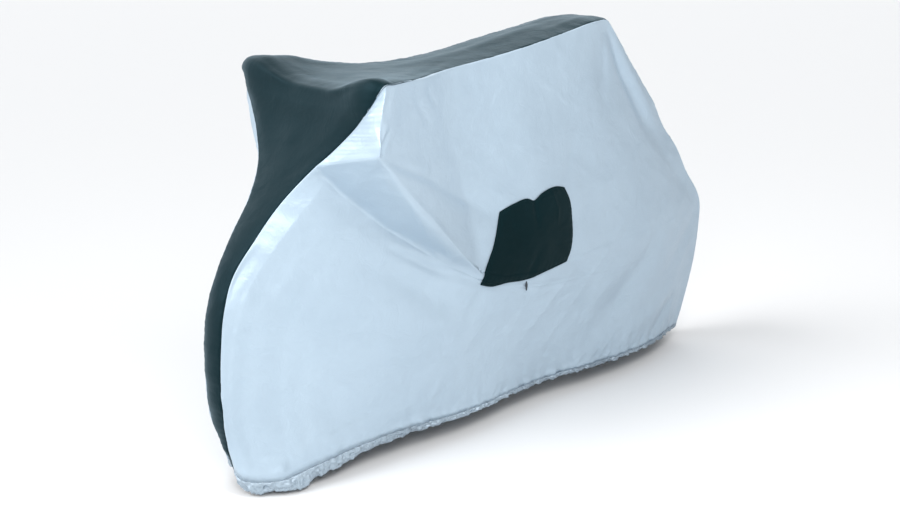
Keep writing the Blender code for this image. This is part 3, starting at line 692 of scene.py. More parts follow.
def edge_frames(points, normal, inner):
    """An edge's points, its outward normals, and the way into its own cloth: what the other piece needs to meet it."""
    into = inner - points
    into /= np.maximum(np.linalg.norm(into, axis=1, keepdims=True), 1e-9)
    return points, normal, into


def allowance(mine, theirs):
    """Which way both allowances of a seam turn in at my edge's points: between both cloths, away from both faces."""
    points, normal, into = mine
    other, other_normal, other_into = theirs
    found = np.empty_like(points)
    for i, point in enumerate(points):
        j = np.linalg.norm(other - point, axis=1).argmin()
        way = into[i] + other_into[j] - normal[i] - other_normal[j]
        found[i] = way / max(np.linalg.norm(way), 1e-9)
    for _ in range(3):
        found[1:-1] = (found[:-2] + 2 * found[1:-1] + found[2:]) / 4
    return found / np.linalg.norm(found, axis=1, keepdims=True)


# ---------------------------------------------------------------- materials
def node_of(tree, kind, **values):
    node = tree.nodes.new(kind)
    for key, value in values.items():
        setattr(node, key, value)
    return node


def cloth_finish(name, colour, shade, roughness, sheen, metallic=0.0, weave=0.10, crinkle=0.25, tint=None, gloss=0.5):
    """Woven cloth: colour drifting a little to its shade, a fine plain weave and small crinkles."""
    finish = bpy.data.materials.new(name)
    finish.use_nodes = True
    tree = finish.node_tree
    link = tree.links.new
    shader = tree.nodes["Principled BSDF"]
    shader.inputs["Metallic"].default_value = metallic
    shader.inputs["Specular IOR Level"].default_value = gloss
    shader.inputs["Specular Tint"].default_value = (*(tint or (1, 1, 1)), 1)
    shader.inputs["Sheen Weight"].default_value = sheen
    shader.inputs["Sheen Roughness"].default_value = 0.45
    shader.inputs["Sheen Tint"].default_value = (*(tint or colour), 1)
    place = node_of(tree, "ShaderNodeTexCoord")
    cloth = node_of(tree, "ShaderNodeUVMap", uv_map="cloth")

    def noise(source, scale, detail, rough=0.5):
        node = node_of(tree, "ShaderNodeTexNoise")
        node.inputs["Scale"].default_value = scale
        node.inputs["Detail"].default_value = detail
        node.inputs["Roughness"].default_value = rough
        link(source, node.inputs["Vector"])
        return node

    broad = noise(place.outputs["Object"], 3.2, 3.0)
    close = noise(place.outputs["Object"], 26.0, 4.0, 0.6)
    blend = node_of(tree, "ShaderNodeMath", operation="MULTIPLY_ADD")
    blend.inputs[1].default_value = 0.35
    link(close.outputs["Fac"], blend.inputs[0])
    link(broad.outputs["Fac"], blend.inputs[2])
    ramp = node_of(tree, "ShaderNodeMapRange")
    ramp.inputs["From Min"].default_value = 0.42
    ramp.inputs["From Max"].default_value = 0.92
    link(blend.outputs[0], ramp.inputs["Value"])
    mix = node_of(tree, "ShaderNodeMix", data_type="RGBA")
    mix.inputs["A"].default_value = (*shade, 1)
    mix.inputs["B"].default_value = (*colour, 1)
    link(ramp.outputs["Result"], mix.inputs["Factor"])

    # plain weave: warp and weft threads 0.45 mm apart
    def threads(direction):
        node = node_of(tree, "ShaderNodeTexWave", wave_type="BANDS", bands_direction=direction, wave_profile="SIN")
        node.inputs["Scale"].default_value = 700.0
        node.inputs["Distortion"].default_value = 0.6
        node.inputs["Detail"].default_value = 1.0
        link(cloth.outputs["UV"], node.inputs["Vector"])
        return node

    warp, weft = threads("X"), threads("Y")
    woven = node_of(tree, "ShaderNodeMath", operation="MULTIPLY")
    link(warp.outputs["Fac"], woven.inputs[0])
    link(weft.outputs["Fac"], woven.inputs[1])
    tone = node_of(tree, "ShaderNodeMapRange")
    tone.inputs["To Min"].default_value = 0.97
    tone.inputs["To Max"].default_value = 1.03
    link(woven.outputs[0], tone.inputs["Value"])
    shown = node_of(tree, "ShaderNodeMix", data_type="RGBA", blend_type="MULTIPLY")
    shown.inputs["Factor"].default_value = 1.0
    link(mix.outputs["Result"], shown.inputs["A"])
    link(tone.outputs["Result"], shown.inputs["B"])
    link(shown.outputs["Result"], shader.inputs["Base Color"])

    rough = node_of(tree, "ShaderNodeMapRange")
    rough.inputs["To Min"].default_value = roughness - 0.06
    rough.inputs["To Max"].default_value = roughness + 0.07
    link(close.outputs["Fac"], rough.inputs["Value"])
    link(rough.outputs["Result"], shader.inputs["Roughness"])

    crumple = noise(place.outputs["Object"], 17.0, 5.0, 0.55)
    crumple.inputs["Distortion"].default_value = 0.8
    first = node_of(tree, "ShaderNodeBump")
    first.inputs["Strength"].default_value = crinkle
    first.inputs["Distance"].default_value = 0.006
    link(crumple.outputs["Fac"], first.inputs["Height"])
    second = node_of(tree, "ShaderNodeBump")
    second.inputs["Strength"].default_value = weave
    second.inputs["Distance"].default_value = 0.0002
    link(woven.outputs[0], second.inputs["Height"])
    link(first.outputs["Normal"], second.inputs["Normal"])
    link(second.outputs["Normal"], shader.inputs["Normal"])
    finish.diffuse_color = (*colour, 1)
    return finish


def plain_finish(name, colour, roughness, metallic=0.0, grain=0.1):
    """Moulded or metal trim with a slight grain."""
    finish = bpy.data.materials.new(name)
    finish.use_nodes = True
    tree = finish.node_tree
    shader = tree.nodes["Principled BSDF"]
    shader.inputs["Base Color"].default_value = (*colour, 1)
    shader.inputs["Metallic"].default_value = metallic
    place = node_of(tree, "ShaderNodeTexCoord")
    speck = node_of(tree, "ShaderNodeTexNoise")
    speck.inputs["Scale"].default_value = 900.0
    speck.inputs["Detail"].default_value = 2.0
    tree.links.new(place.outputs["Object"], speck.inputs["Vector"])
    rough = node_of(tree, "ShaderNodeMapRange")
    rough.inputs["To Min"].default_value = roughness - 0.08
    rough.inputs["To Max"].default_value = roughness + 0.08
    tree.links.new(speck.outputs["Fac"], rough.inputs["Value"])
    tree.links.new(rough.outputs["Result"], shader.inputs["Roughness"])
    bump = node_of(tree, "ShaderNodeBump")
    bump.inputs["Strength"].default_value = grain
    bump.inputs["Distance"].default_value = 0.0002
    tree.links.new(speck.outputs["Fac"], bump.inputs["Height"])
    tree.links.new(bump.outputs["Normal"], shader.inputs["Normal"])
    finish.diffuse_color = (*colour, 1)
    return finish


# ---------------------------------------------------------------- side panels
def gather(side, run):
    """The hem's gathers along its stitch line: how far the cloth stands out, and how sharply it is creased."""
    seed = 11 if side == "near" else 12
    fine = wander(run, 0.021, seed, 0.9)
    wide = wander(run, 0.055, seed + 20, 0.9)
    swell = 0.55 + 0.45 * wander(run, 0.30, seed + 40)
    return fine * swell, wide * (0.4 + 0.6 * swell)


def gather_strength(u):
    """The elastic pulls hardest along the middle and rear."""
    return np.interp(u, [0, 0.03, 0.10, 0.22, 0.30, 0.75, 0.95, 1], [0.5, 0.7, 0.45, 0.55, 1.0, 1.1, 0.8, 0.4])


def panel_base(side, spans, rows):
    """A panel's smooth face, its normals, distances from seam and hem, and its sewn edge: front, top, rear."""
    u = edge_steps(spans, PANEL_SIZE[0])
    u = with_row(u, [0.045])
    v = edge_steps(rows, PANEL_SIZE[1])
    v = HEM_AT + (1 - HEM_AT) * v[v > 0.0101]
    v = with_row(np.concatenate([[HEM_AT], v]), [VALLEY_AT, RIDGE_AT])
    points, reach = panel_points(side, u, v)
    normal = facing_of(points, 1 if side == "near" else -1)
    edge = edge_frames(
        np.concatenate([points[:, 0], points[-1, 1:-1], points[::-1, -1]]),
        np.concatenate([normal[:, 0], normal[-1, 1:-1], normal[::-1, -1]]),
        np.concatenate([points[:, 4], points[-5, 1:-1], points[::-1, -5]]),
    )
    return points, normal, reach, edge, u


def side_panel(side, base, seam_of_strip):
    points, normal, (to_left, to_right, to_top, _), edge, u = base
    at_x, at_z = points[..., 0], points[..., 2]
    seed = 100 if side == "near" else 200
    to_stitch = np.linalg.norm(points - points[:1], axis=2)
    left_run, right_run = run_of(points[:, 0])[:, None], run_of(points[:, -1])[:, None]
    top_run, low_run = run_of(points[-1])[None], run_of(points[0])[None]
    to_seam = np.minimum(np.minimum(to_left, to_right), to_top)

    # slack cloth: broad soft waves, faint crisp wrinkles, and fine level ripples low at the front
    out = 0.0022 * drift(at_x, at_z, 0.26, 0.17, seed + 1, 0.5)
    out += 0.0010 * drift(at_x, at_z, 0.085, 0.055, seed + 2, -0.35)
    peak = columns(of_side(APEX, side), 1, 2)[0]
    slack = np.clip(np.hypot(at_x - peak[0] - 0.12, at_z - peak[1] + 0.10) / 0.30 - 0.55, 0.08, 1)
    out += 0.0012 * crease(at_x, at_z, 0.190, 0.085, seed + 5, 0.75) * slack
    out += 0.0007 * crease(at_x, at_z, 0.120, 0.050, seed + 6, -0.55) * slack
    out += 0.00030 * crease(at_x, at_z, 0.055, 0.030, seed + 7, 0.2) * slack
    low_front = np.clip((0.95 - at_x) / 0.5, 0.25, 1) * np.clip((0.55 - at_z) / 0.25, 0.15, 1)
    out += 0.00055 * drift(at_x, at_z, 0.130, 0.020, seed + 3, 0.10) * low_front
    out += 0.00030 * crease(at_x, at_z, 0.160, 0.026, seed + 8, 0.16) * low_front
    out += 0.00022 * drift(at_x, at_z, 0.030, 0.024, seed + 4, 0.8)
    # puckers across the seams
    for run, distance, k in ((left_run, to_left, 0), (right_run, to_right, 1), (top_run, to_top, 2)):
        fine = wander(run, 0.017, seed + 10 + k, 0.7)
        wide = wander(run, 0.062, seed + 20 + k)
        swell = 0.5 + 0.5 * wander(run, 0.35, seed + 30 + k)
        size = (0.8, 1.0, 0.55)[k]
        out += size * 0.0011 * fine * swell * fade(distance, 0.016) * np.clip(distance / 0.003, 0, 1)
        out += size * 0.0013 * wide * swell * fade(distance, 0.055) * np.clip(distance / 0.008, 0, 1)
    # gathers rising from the hem
    fine, wide = gather(side, low_run)
    pull = gather_strength(u)[None]
    ends = np.clip(to_seam / 0.02, 0, 1)
    out += pull * ends * (0.0017 * fine * fade(to_stitch, 0.012) + 0.0032 * wide * fade(to_stitch, 0.045))
    for k, (turn, size) in enumerate(((0.62, 0.0026), (-0.62, 0.0026), (0.25, 0.0018), (-0.9, 0.0014))):
        slant = crease(low_run + 0 * to_stitch, to_stitch, 0.036 - 0.006 * k, 0.075 - 0.012 * k, seed + 40 + k, turn)
        out += pull * ends * size * slant * fade(to_stitch, 0.036) * np.clip(to_stitch / 0.003, 0.35, 1)
    out -= 0.0005 * fade(to_stitch, 0.0030) * ends
    out *= np.clip(to_seam / 0.004, 0, 1)
    out -= sewn_in(to_seam)
    points = points + normal * out[..., None]
    stitched = points[0].copy(), normal[0].copy(), low_run[0], (fine * ends[0])[0], (wide * ends[0])[0]

    # the seam allowance, turned in
    turn = TURN_IN * allowance(edge, seam_of_strip)
    rows = len(points)
    left, top, right = turn[:rows], turn[rows - 1 : len(turn) - rows + 1], turn[len(turn) - rows :][::-1]
    crown = points[-1] + top
    points = np.concatenate([points, crown[None]])
    first = np.concatenate([points[:-1, 0] + left, crown[:1]])
    last = np.concatenate([points[:-1, -1] + right, crown[-1:]])
    points = np.concatenate([first[:, None], points, last[:, None]], axis=1)
    # and the hem's: the cloth goes in behind the stitch line
    tuck = points[0] - np.concatenate([normal[0, :1], normal[0], normal[0, -1:]]) * 0.003
    return tug(np.concatenate([tuck[None], points])), stitched


def hem_casing(side, stitched, spans):
    """The gathered casing under the stitch line: rows down its crumpled outer face, round the fold and up inside."""
    base, normal, run, _, _ = stitched
    at = np.linspace(0, run[-1], spans)
    share = at / run[-1]

    def resample(values):
        return np.stack([np.interp(at, run, values[:, i]) for i in range(3)], -1)

    top, out = resample(base), resample(normal)
    out /= np.linalg.norm(out, axis=1, keepdims=True)
    low = along(hem_line(side), share)
    sign = -1 if side == "near" else 1
    low = np.stack([low[:, 0], sign * low[:, 2], low[:, 1]], -1)
    fall = low - top
    depth = np.linalg.norm(fall, axis=1, keepdims=True)
    down = fall / np.maximum(depth, 1e-6)
    fine, wide = gather(side, at)
    seed = 61 if side == "near" else 62
    # the elastic draws the hem under in places
    curl = np.interp(share, [0, 0.10, 0.16, 0.22, 0.27, 0.33, 0.40, 1], [0.10, 0.10, 0.14, 0.22, 0.30, 0.28, 0.20, 0.20])
    curl = curl + 0.18 * wander(at, 0.14, seed + 5)
    bent = down - out * curl[:, None]
    down = bent / np.linalg.norm(bent, axis=1, keepdims=True)
    away = np.cross(np.gradient(top, axis=0), down)
    away /= np.linalg.norm(away, axis=1, keepdims=True)
    away *= np.sign((away * out).sum(1, keepdims=True))
    taper = np.clip(np.minimum(at, run[-1] - at) / 0.03, 0.35, 1)
    pull = gather_strength(share)
    reach = depth[:, 0] * (1 + 0.09 * wide + 0.05 * fine + 0.04 * wander(at, 0.013, seed + 6))
    # how deep the casing hangs: least at the front knot, most beside the front wheel
    reach = reach * np.interp(
        share,
        [0, 0.02, 0.05, 0.075, 0.09, 0.11, 0.16, 0.21, 0.26, 0.32, 0.38, 0.60, 1],
        [0.50, 0.85, 1.12, 1.15, 1.02, 1.42, 1.40, 1.36, 1.20, 1.16, 1.05, 1.05, 1.0],
    )
    outer = np.linspace(0, 1, 15)
    inner = np.array([0.975, 0.90, 0.72, 0.48, 0.24, 0.03])
    rows = []
    for k, part in enumerate(np.concatenate([outer, inner])):
        inside = k >= len(outer)
        deep = np.full_like(at, part * 0.03)
        crumple = 0.6 * crease(at, deep, 0.021, 0.013, seed + 1, 0.80) + 0.6 * crease(at, deep, 0.017, 0.012, seed + 2, -0.85)
        crumple += 0.45 * crease(at, deep, 0.010, 0.018, seed + 4, 0.10) + 0.30 * drift(at, deep, 0.006, 0.008, seed + 3)
        body = math.sin(math.pi * part) ** 0.6 if 0 < part < 1 else 0.0
        pleat = part**0.7 * (0.0017 * fine + 0.0030 * wide)
        stand = (-0.0030 if inside else 0.0022) * body
        stand = stand + 0.0058 * crumple * (0.16 * part + 0.84 * body) * (0.6 + 0.4 * pull) + pleat * (0.5 + 0.5 * pull)
        rows.append(top + down * (part * reach)[:, None] + away * (stand * taper)[:, None])
    return np.array(rows)


def stitch_marks(name, line, normal, finish, pitch=0.0055, length=0.0036, thick=0.00045, lift=0.0004):
    """A row of thread stitches: short four-sided bars that sink in at both ends."""
    run = run_of(line)
    starts = np.arange(pitch, run[-1] - 2 * pitch, pitch)
    verts, faces = [], []

    def at(s):
        return np.array([np.interp(s, run, line[:, i]) for i in range(3)])

    def up(s):
        n = np.array([np.interp(s, run, normal[:, i]) for i in range(3)])
        return n / np.linalg.norm(n)

    shape = ((0.0, -0.0005), (0.25, 1.0), (0.75, 1.0), (1.0, -0.0005))
    for s in starts:
        first = len(verts)
        for part, rise in shape:
            p, n = at(s + part * length), up(s + part * length)
            ahead = at(s + part * length + 0.001) - p
            across = np.cross(ahead, n)
            across /= np.linalg.norm(across)
            centre = p + n * (lift if rise > 0 else -0.0006)
            for c, d in ((-1, -1), (1, -1), (1, 1), (-1, 1)):
                verts.append(centre + across * c * thick / 2 + n * d * thick / 2)
        for k in range(3):
            for j in range(4):
                a, b = first + k * 4 + j, first + k * 4 + (j + 1) % 4
                faces.append((a, b, b + 4, a + 4))
        faces.append((first + 3, first + 2, first + 1, first))
        faces.append((first + 12, first + 13, first + 14, first + 15))
    mesh = bpy.data.meshes.new(name)
    mesh.from_pydata((np.array(verts) - ORIGIN).tolist(), [], faces)
    mesh.materials.append(finish)
    piece = bpy.data.objects.new(name, mesh)
    bpy.context.scene.collection.objects.link(piece)
    return piece


# ---------------------------------------------------------------- centre strip
# Soft ridges (depth over 0) and troughs on the centre strip, along lines in the design axes seen from above or ahead
STRIP_FOLDS = (
    # name            x0     y0      z0     x1     y1      z1     depth    width
    ("bar_edge_far",  0.310, 0.275,  1.062, 0.310, 0.105,  1.021, 0.0065,  0.0085),
    ("bar_edge_mid",  0.310, 0.165,  1.030, 0.307, -0.150, 1.019, 0.0055,  0.0085),
    ("bar_edge_near", 0.305, -0.110, 1.018, 0.313, -0.285, 1.062, 0.0065,  0.0085),
    ("bar_crescent",  0.350, -0.130, 1.040, 0.350, 0.110,  1.040, 0.0030,  0.022),
    ("front_pull",    0.290, -0.250, 0.980, 0.215, -0.050, 0.820, -0.0030, 0.016),
    ("front_pull_2",  0.285, 0.240,  0.970, 0.205, 0.060,  0.800, -0.0030, 0.016),
    ("front_patch",   0.275, 0.020,  0.930, 0.250, 0.010,  0.880, 0.0030,  0.028),
    ("waist_near",    0.420, -0.230, 1.050, 0.700, -0.060, 1.060, -0.0035, 0.014),
    ("waist_far",     0.420, 0.230,  1.050, 0.700, 0.060,  1.060, -0.0035, 0.014),
    ("back_ridge",    0.620, 0.000,  1.055, 1.200, 0.000,  1.140, 0.0040,  0.026),
    ("saddle_near",   1.100, -0.060, 1.120, 1.340, -0.040, 1.150, 0.0030,  0.016),
    ("saddle_far",    1.100, 0.060,  1.120, 1.340, 0.040,  1.150, 0.0030,  0.016),
    ("tail_dip",      1.400, 0.000,  1.090, 1.700, 0.000,  0.750, -0.0040, 0.024),
)


def strip_base(spans, count):
    """The centre strip's smooth face, its normals, its rows, and its two sewn edges."""
    front, top, rear = seam_lines()
    whole = np.concatenate([front, top[1:], rear[::-1][1:]])
    rows = along(whole, np.linspace(0, 1, count))
    close = np.array([0.0, 0.010, 0.022, 0.040])
    t = np.concatenate([close, np.linspace(0.07, 1.93, spans - 8), 2 - close[::-1]]) - 1
    points = strip_points(rows, t)
    normal = facing_of(points, -1)
    edges = [
        edge_frames(points[:, 0], normal[:, 0], points[:, 3]),
        edge_frames(points[:, -1], normal[:, -1], points[:, -4]),
    ]
    return points, normal, rows, t, edges


def strip_piece(base, near_edge, far_edge):
    points, normal, rows, t, edges = base
    half = rows[:, 2]
    run = run_of(rows[:, :2])[:, None]
    side = points[..., 1]
    to_seam = (1 - np.abs(t))[None] * half[:, None]
    out = 0.0013 * drift(run + 0 * side, side, 0.20, 0.13, 301)
    out += 0.00045 * drift(run + 0 * side, side, 0.070, 0.050, 302, 0.6)
    out += 0.00030 * crease(run + 0 * side, side, 0.080, 0.030, 303, -0.5)
    for _, x0, y0, z0, x1, y1, z1, depth, width in STRIP_FOLDS:
        start, way = np.array((x0, y0, z0)), np.array((x1 - x0, y1 - y0, z1 - z0))
        share = np.clip((points - start) @ way / (way @ way), 0, 1)
        off = np.linalg.norm(points - start - share[..., None] * way, axis=2)
        out += depth * np.sin(math.pi * np.clip(0.12 + 0.76 * share, 0, 1)) * 0.5 ** ((off / width) ** 2)
    for k, sign in enumerate((-1, 1)):
        distance = (1 - sign * t)[None] * half[:, None]
        fine = wander(run, 0.018, 310 + k, 0.8)
        wide = wander(run, 0.070, 320 + k)
        out += 0.0008 * fine * fade(distance, 0.014) + 0.0011 * wide * fade(distance, 0.040)
    out *= np.clip(to_seam / 0.006, 0, 1)
    out -= sewn_in(to_seam)
    points = points + normal * out[..., None]
    near = points[:, :1] + TURN_IN * allowance(edges[0], near_edge)[:, None]
    far = points[:, -1:] + TURN_IN * allowance(edges[1], far_edge)[:, None]
    return tug(np.concatenate([near, points, far], axis=1))


# ---------------------------------------------------------------- pouch
def lie_under(face, at):
    """How far along y the near panel's outer face is at each (x, z): by its nearest point there and its slopes."""
    du, dv = np.gradient(face, axis=1), np.gradient(face, axis=0)
    near = (
        (face[..., 0] > at[:, 0].min() - 0.03) & (face[..., 0] < at[:, 0].max() + 0.03)
        & (face[..., 2] > at[:, 1].min() - 0.03) & (face[..., 2] < at[:, 1].max() + 0.03)
    )
    spots, du, dv = face[near], du[near], dv[near]
    found = np.empty(len(at))
    for start in range(0, len(at), 1024):
        part = at[start : start + 1024]
        i = ((spots[None, :, [0, 2]] - part[:, None]) ** 2).sum(2).argmin(1)
        a, b = du[i][:, [0, 2]], dv[i][:, [0, 2]]
        step = part - spots[i][:, [0, 2]]
        det = a[:, 0] * b[:, 1] - a[:, 1] * b[:, 0]
        # never further than one step of the grid, which a steep fold's slopes would ask for
        s = np.clip((step[:, 0] * b[:, 1] - step[:, 1] * b[:, 0]) / det, -1, 1)
        t = np.clip((a[:, 0] * step[:, 1] - a[:, 1] * step[:, 0]) / det, -1, 1)
        found[start : start + 1024] = spots[i][:, 1] + s * du[i][:, 1] + t * dv[i][:, 1]
    return found


def pouch_piece(face, spans, rows):
    line = {
        name: smooth_line(columns(of_side(POUCH, name), 2, 3))
        for name in ("left", "bottom", "right", "top")
    }
    u = 0.5 - 0.5 * np.cos(np.linspace(0, 1, spans) * math.pi)
    u = 0.45 * u + 0.55 * np.linspace(0, 1, spans)
    v = 0.5 - 0.5 * np.cos(np.linspace(0, 1, rows) * math.pi)
    v = 0.45 * v + 0.55 * np.linspace(0, 1, rows)
    flat = patch(
        along(line["left"][::-1], v), along(line["right"], v), along(line["bottom"], u), along(line["top"], u), u, v
    )
    y = lie_under(face, flat.reshape(-1, 2)).reshape(flat.shape[:2])
    gap = [
        np.linalg.norm(flat - flat[:, :1], axis=2), np.linalg.norm(flat - flat[:, -1:], axis=2),
        np.linalg.norm(flat - flat[:1], axis=2), np.linalg.norm(flat - flat[-1:], axis=2),
    ]
    inside = np.min(gap, axis=0)
    rise = 0.0026 + 0.0034 * (1 - np.exp(-inside / 0.004))
    puff = 0.0065 * np.outer(np.sin(math.pi * v), np.sin(math.pi * u)) ** 0.6
    out = rise + puff
    # a bound edge 6 mm wide, stitched down along its inner side
    out += 0.0008 * np.exp(-((inside - 0.0030) / 0.0022) ** 2)
    out -= 0.0011 * np.exp(-((inside - 0.0075) / 0.0014) ** 2)
    x, z = flat[..., 0], flat[..., 1]
    for x0, z0, x1, z1, depth, width in POUCH_FOLDS:
        start, run = np.array((x0, z0)), np.array((x1 - x0, z1 - z0))
        share = np.clip(((flat - start) @ run) / (run @ run), 0, 1)
        off = np.linalg.norm(flat - start - share[..., None] * run, axis=2)
        out += depth * np.sin(math.pi * np.clip(0.2 + 0.7 * share, 0, 1)) * 0.5 ** ((off / width) ** 2)
    out += 0.0007 * drift(x, z, 0.06, 0.045, 401, 0.4) * np.clip(inside / 0.02, 0, 1)
    for k, (run, distance) in enumerate(
        ((run_of(flat[:, 0])[:, None], gap[0]), (run_of(flat[:, -1])[:, None], gap[1]), (run_of(flat[0])[None], gap[2]), (run_of(flat[-1])[None], gap[3]))
    ):
        out += 0.0008 * wander(run, 0.020, 410 + k, 0.8) * fade(distance, 0.014) * np.clip(inside / 0.006, 0, 1)
    face_points = np.stack([x, y - out, z], -1)
    # the edge turns in to the panel
    back = np.stack([x, y - 0.0008, z], -1)
    ring = np.concatenate([face_points[:1] * 0 + back[:1], face_points, back[-1:]])
    left = np.concatenate([back[:1, :1], back[:, :1], back[-1:, :1]])
    right = np.concatenate([back[:1, -1:], back[:, -1:], back[-1:, -1:]])
    return np.concatenate([left, ring, right], axis=1)


POUCH_FOLDS = (
    # x0     z0     x1     z1     depth    width
    (0.948, 0.662, 0.952, 0.590, -0.0040, 0.0080),
    (0.952, 0.668, 1.020, 0.668, 0.0016, 0.0050),
    (1.020, 0.668, 1.040, 0.625, 0.0016, 0.0050),
    (1.040, 0.625, 1.036, 0.580, 0.0014, 0.0050),
    (0.838, 0.640, 0.905, 0.520, -0.0030, 0.0160),
    (0.800, 0.520, 0.900, 0.480, -0.0022, 0.0140),
    (0.920, 0.440, 0.960, 0.520, -0.0030, 0.0120),
    (1.090, 0.470, 1.000, 0.540, -0.0022, 0.0150),
)


def turned(name, profile, place, tilt, finish, sides=20, squeeze=1.0):
    """A turned body about its own z, squeezed flat along y, moved to its place."""
    turn = np.linspace(0, 2 * math.pi, sides, endpoint=False)
    rings = [
        np.stack([r * np.cos(turn), squeeze * r * np.sin(turn), np.full(sides, z)], -1) for r, z in profile
    ]
    verts = np.concatenate(rings)
    faces = []
    for k in range(len(rings) - 1):
        for j in range(sides):
            a, b = k * sides + j, k * sides + (j + 1) % sides
            faces.append((a, b, b + sides, a + sides))
    faces.append(tuple(range(sides))[::-1])
    faces.append(tuple(range((len(rings) - 1) * sides, len(rings) * sides)))
    mesh = bpy.data.meshes.new(name)
    mesh.from_pydata(verts.tolist(), [], faces)
    mesh.transform(Matrix.Translation(Vector(place) - Vector(ORIGIN)) @ tilt.to_4x4())
    mesh.shade_smooth()
    mesh.materials.append(finish)
    piece = bpy.data.objects.new(name, mesh)
    bpy.context.scene.collection.objects.link(piece)
    return piece


# ---------------------------------------------------------------- camera, light, floor
def place_camera():
    azimuth, height = math.radians(-40.8), math.radians(15.9)
    ahead = Vector((-math.sin(azimuth) * math.cos(height), math.cos(azimuth) * math.cos(height), -math.sin(height)))
    right = Vector((math.cos(azimuth), math.sin(azimuth), 0))
    up = right.cross(ahead)
    view = Matrix((right, up, -ahead)).transposed().to_4x4()
    view.translation = Vector((-1.283, -2.400, 1.400)) - Vector(ORIGIN)
    lens = bpy.data.cameras.new("camera")
    lens.sensor_width = 36.0
    lens.lens = 45.4
    camera = bpy.data.objects.new("camera", lens)
    camera.matrix_world = view
    bpy.context.scene.collection.objects.link(camera)
    bpy.context.scene.camera = camera


SUNS = (
    # name       from_x  from_y  from_z  spread  strength   where each shines from, and how wide it is in degrees
    ("left",     -0.90,  0.20,   0.38,   36.0,   0.80),
    ("left_high", -0.72, 0.30,   0.62,   40.0,   1.80),
    ("back",     0.45,   0.80,   0.38,   80.0,   1.30),
)
# soft lamps on the near side, close enough that the light falls off towards the rear
LAMPS = (
    # name          x      y      z      aim_x  aim_y  aim_z  size   power
    ("front",       -0.70, -1.70, 1.70,  0.30,  -0.20, 0.70,  1.0,   27.5),
    ("high",        0.60,  -1.55, 2.35,  0.62,  -0.20, 1.00,  1.0,   23.5),
)


def light_scene():
    for name, x, y, z, spread, strength in SUNS:
        lamp = bpy.data.lights.new(name, "SUN")
        lamp.angle = math.radians(spread)
        lamp.energy = strength
        holder = bpy.data.objects.new(name, lamp)
        turn = Vector((-x, -y, -z)).to_track_quat("-Z", "Y").to_matrix().to_4x4()
        turn.translation = Vector((x, y, z)) * 4
        holder.matrix_world = turn
        bpy.context.scene.collection.objects.link(holder)
    for name, x, y, z, aim_x, aim_y, aim_z, size, power in LAMPS:
        lamp = bpy.data.lights.new(name, "AREA")
        lamp.size = size
        lamp.energy = power
        holder = bpy.data.objects.new(name, lamp)
        place, aim = Vector((x, y, z)), Vector((aim_x, aim_y, aim_z))
        turn = (aim - place).to_track_quat("-Z", "Y").to_matrix().to_4x4()
        turn.translation = place - Vector(ORIGIN)
        holder.matrix_world = turn
        bpy.context.scene.collection.objects.link(holder)
    world = bpy.data.worlds.new("studio")
    world.use_nodes = True
    world.node_tree.nodes["Background"].inputs["Color"].default_value = (0.93, 0.96, 1.0, 1)
    world.node_tree.nodes["Background"].inputs["Strength"].default_value = 0.56
    bpy.context.scene.world = world
    bpy.context.scene.view_settings.view_transform = "Standard"
    # the floor
    mesh = bpy.data.meshes.new("floor")
    low = -ORIGIN[2]
    mesh.from_pydata([(-40, -40, low), (40, -40, low), (40, 40, low), (-40, 40, low)], [], [(0, 1, 2, 3)])
    finish = bpy.data.materials.new("floor")
    finish.use_nodes = True
    shader = finish.node_tree.nodes["Principled BSDF"]
    shader.inputs["Base Color"].default_value = (0.78, 0.78, 0.78, 1)
    shader.inputs["Roughness"].default_value = 0.85
    mesh.materials.append(finish)
    floor = bpy.data.objects.new("floor", mesh)
    bpy.context.scene.collection.objects.link(floor)


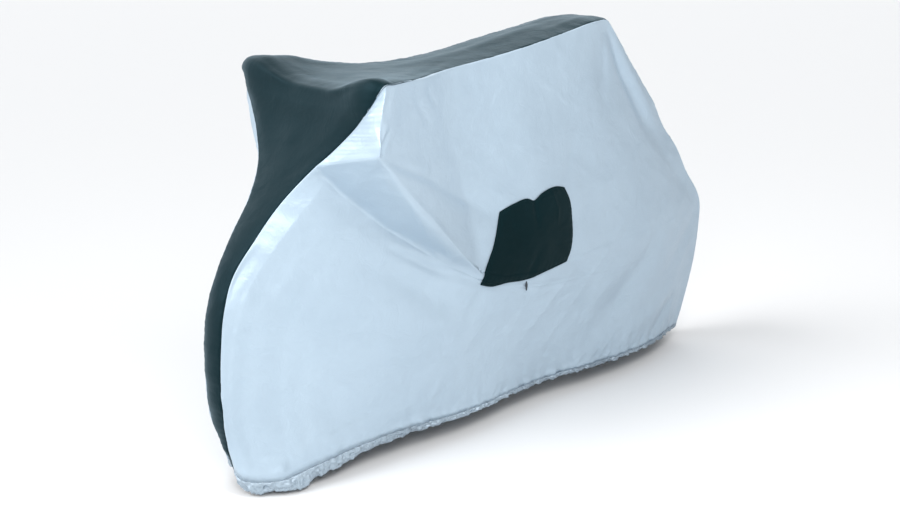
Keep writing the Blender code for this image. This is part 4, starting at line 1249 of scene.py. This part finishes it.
# ---------------------------------------------------------------- the cover
def main():
    place_camera()
    light_scene()
    silver = cloth_finish("silver_cloth", (0.440, 0.545, 0.635), (0.400, 0.500, 0.588), 0.42, 0.06, 0.35, tint=(0.9, 0.95, 1.0), crinkle=0.4)
    # the hem's cloth is a darker copy of the silver cloth: its lower tone and the dark blotches of its shade colour are
    # painted shade for the crinkled, curled-under casing
    hem_silver_painted_shade = cloth_finish("silver_hem_painted_shade", (0.420, 0.510, 0.585), (0.235, 0.292, 0.346), 0.38, 0.05, 0.38, tint=(0.9, 0.95, 1.0), crinkle=0.7)
    dark = cloth_finish("dark_cloth", (0.004, 0.0125, 0.0145), (0.003, 0.0100, 0.0118), 0.46, 0.15, 0.0, tint=(0.36, 0.74, 0.98), gloss=0.15)
    black = cloth_finish("pouch_cloth", (0.004, 0.014, 0.017), (0.003, 0.010, 0.012), 0.58, 0.02, 0.0, tint=(0.30, 0.72, 0.80), gloss=0.10)
    thread = plain_finish("thread", (0.30, 0.36, 0.42), 0.7)
    dark_thread = plain_finish("dark_thread", (0.02, 0.03, 0.036), 0.7)
    pull_finish = plain_finish("pull_webbing", (0.020, 0.028, 0.036), 0.5)

    bases = {side: panel_base(side, spans, rows) for side, spans, rows in (("near", 400, 205), ("far", 300, 150))}
    strip_smooth = strip_base(45, 760)
    pieces = {}
    for k, (side, node, hem_spans, area) in enumerate(
        (("near", "near_side_panel", 900, 1.80), ("far", "far_side_panel", 640, 1.75))
    ):
        points, stitched = side_panel(side, bases[side], strip_smooth[4][k])
        panel = cloth_object(node + "_cloth", points, silver, flip=side == "far")
        casing = hem_casing(side, stitched, hem_spans)
        hem = cloth_object(side + "_hem", casing, hem_silver_painted_shade, flip=side == "near", closed=True)
        marks = stitch_marks(side + "_hem_stitches", stitched[0], stitched[1], thread)
        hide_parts(node)
        for piece in (panel, hem, marks):
            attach(piece, "root")
        pieces[side] = points

    strip_face = strip_piece(strip_smooth, bases["near"][3], bases["far"][3])
    strip = cloth_object("centre_strip_cloth", strip_face, dark, flip=True)
    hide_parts("centre_gusset")
    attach(strip, "root")

    face = pieces["near"]
    pouch = cloth_object("pouch_cloth", pouch_piece(face, 120, 96), black)
    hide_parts("storage_pouch")
    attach(pouch, "root")

    # the pull: a slim spindle that hangs from the pouch's lower edge
    low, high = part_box("pouch_tab")
    middle = np.array((low + high) / 2) + ORIGIN
    profile = [(0.0003, 0.0140), (0.0011, 0.0138), (0.0015, 0.0120), (0.0026, 0.0090), (0.0042, 0.0050), (0.0047, 0.0010),
               (0.0042, -0.0040), (0.0033, -0.0090), (0.0026, -0.0120), (0.0016, -0.0142), (0.0003, -0.0148)]
    pull = turned("pouch_pull", profile[::-1], middle, Matrix.Identity(3), pull_finish, squeeze=0.27)
    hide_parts("pouch_tab")
    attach(pull, "root")


main()
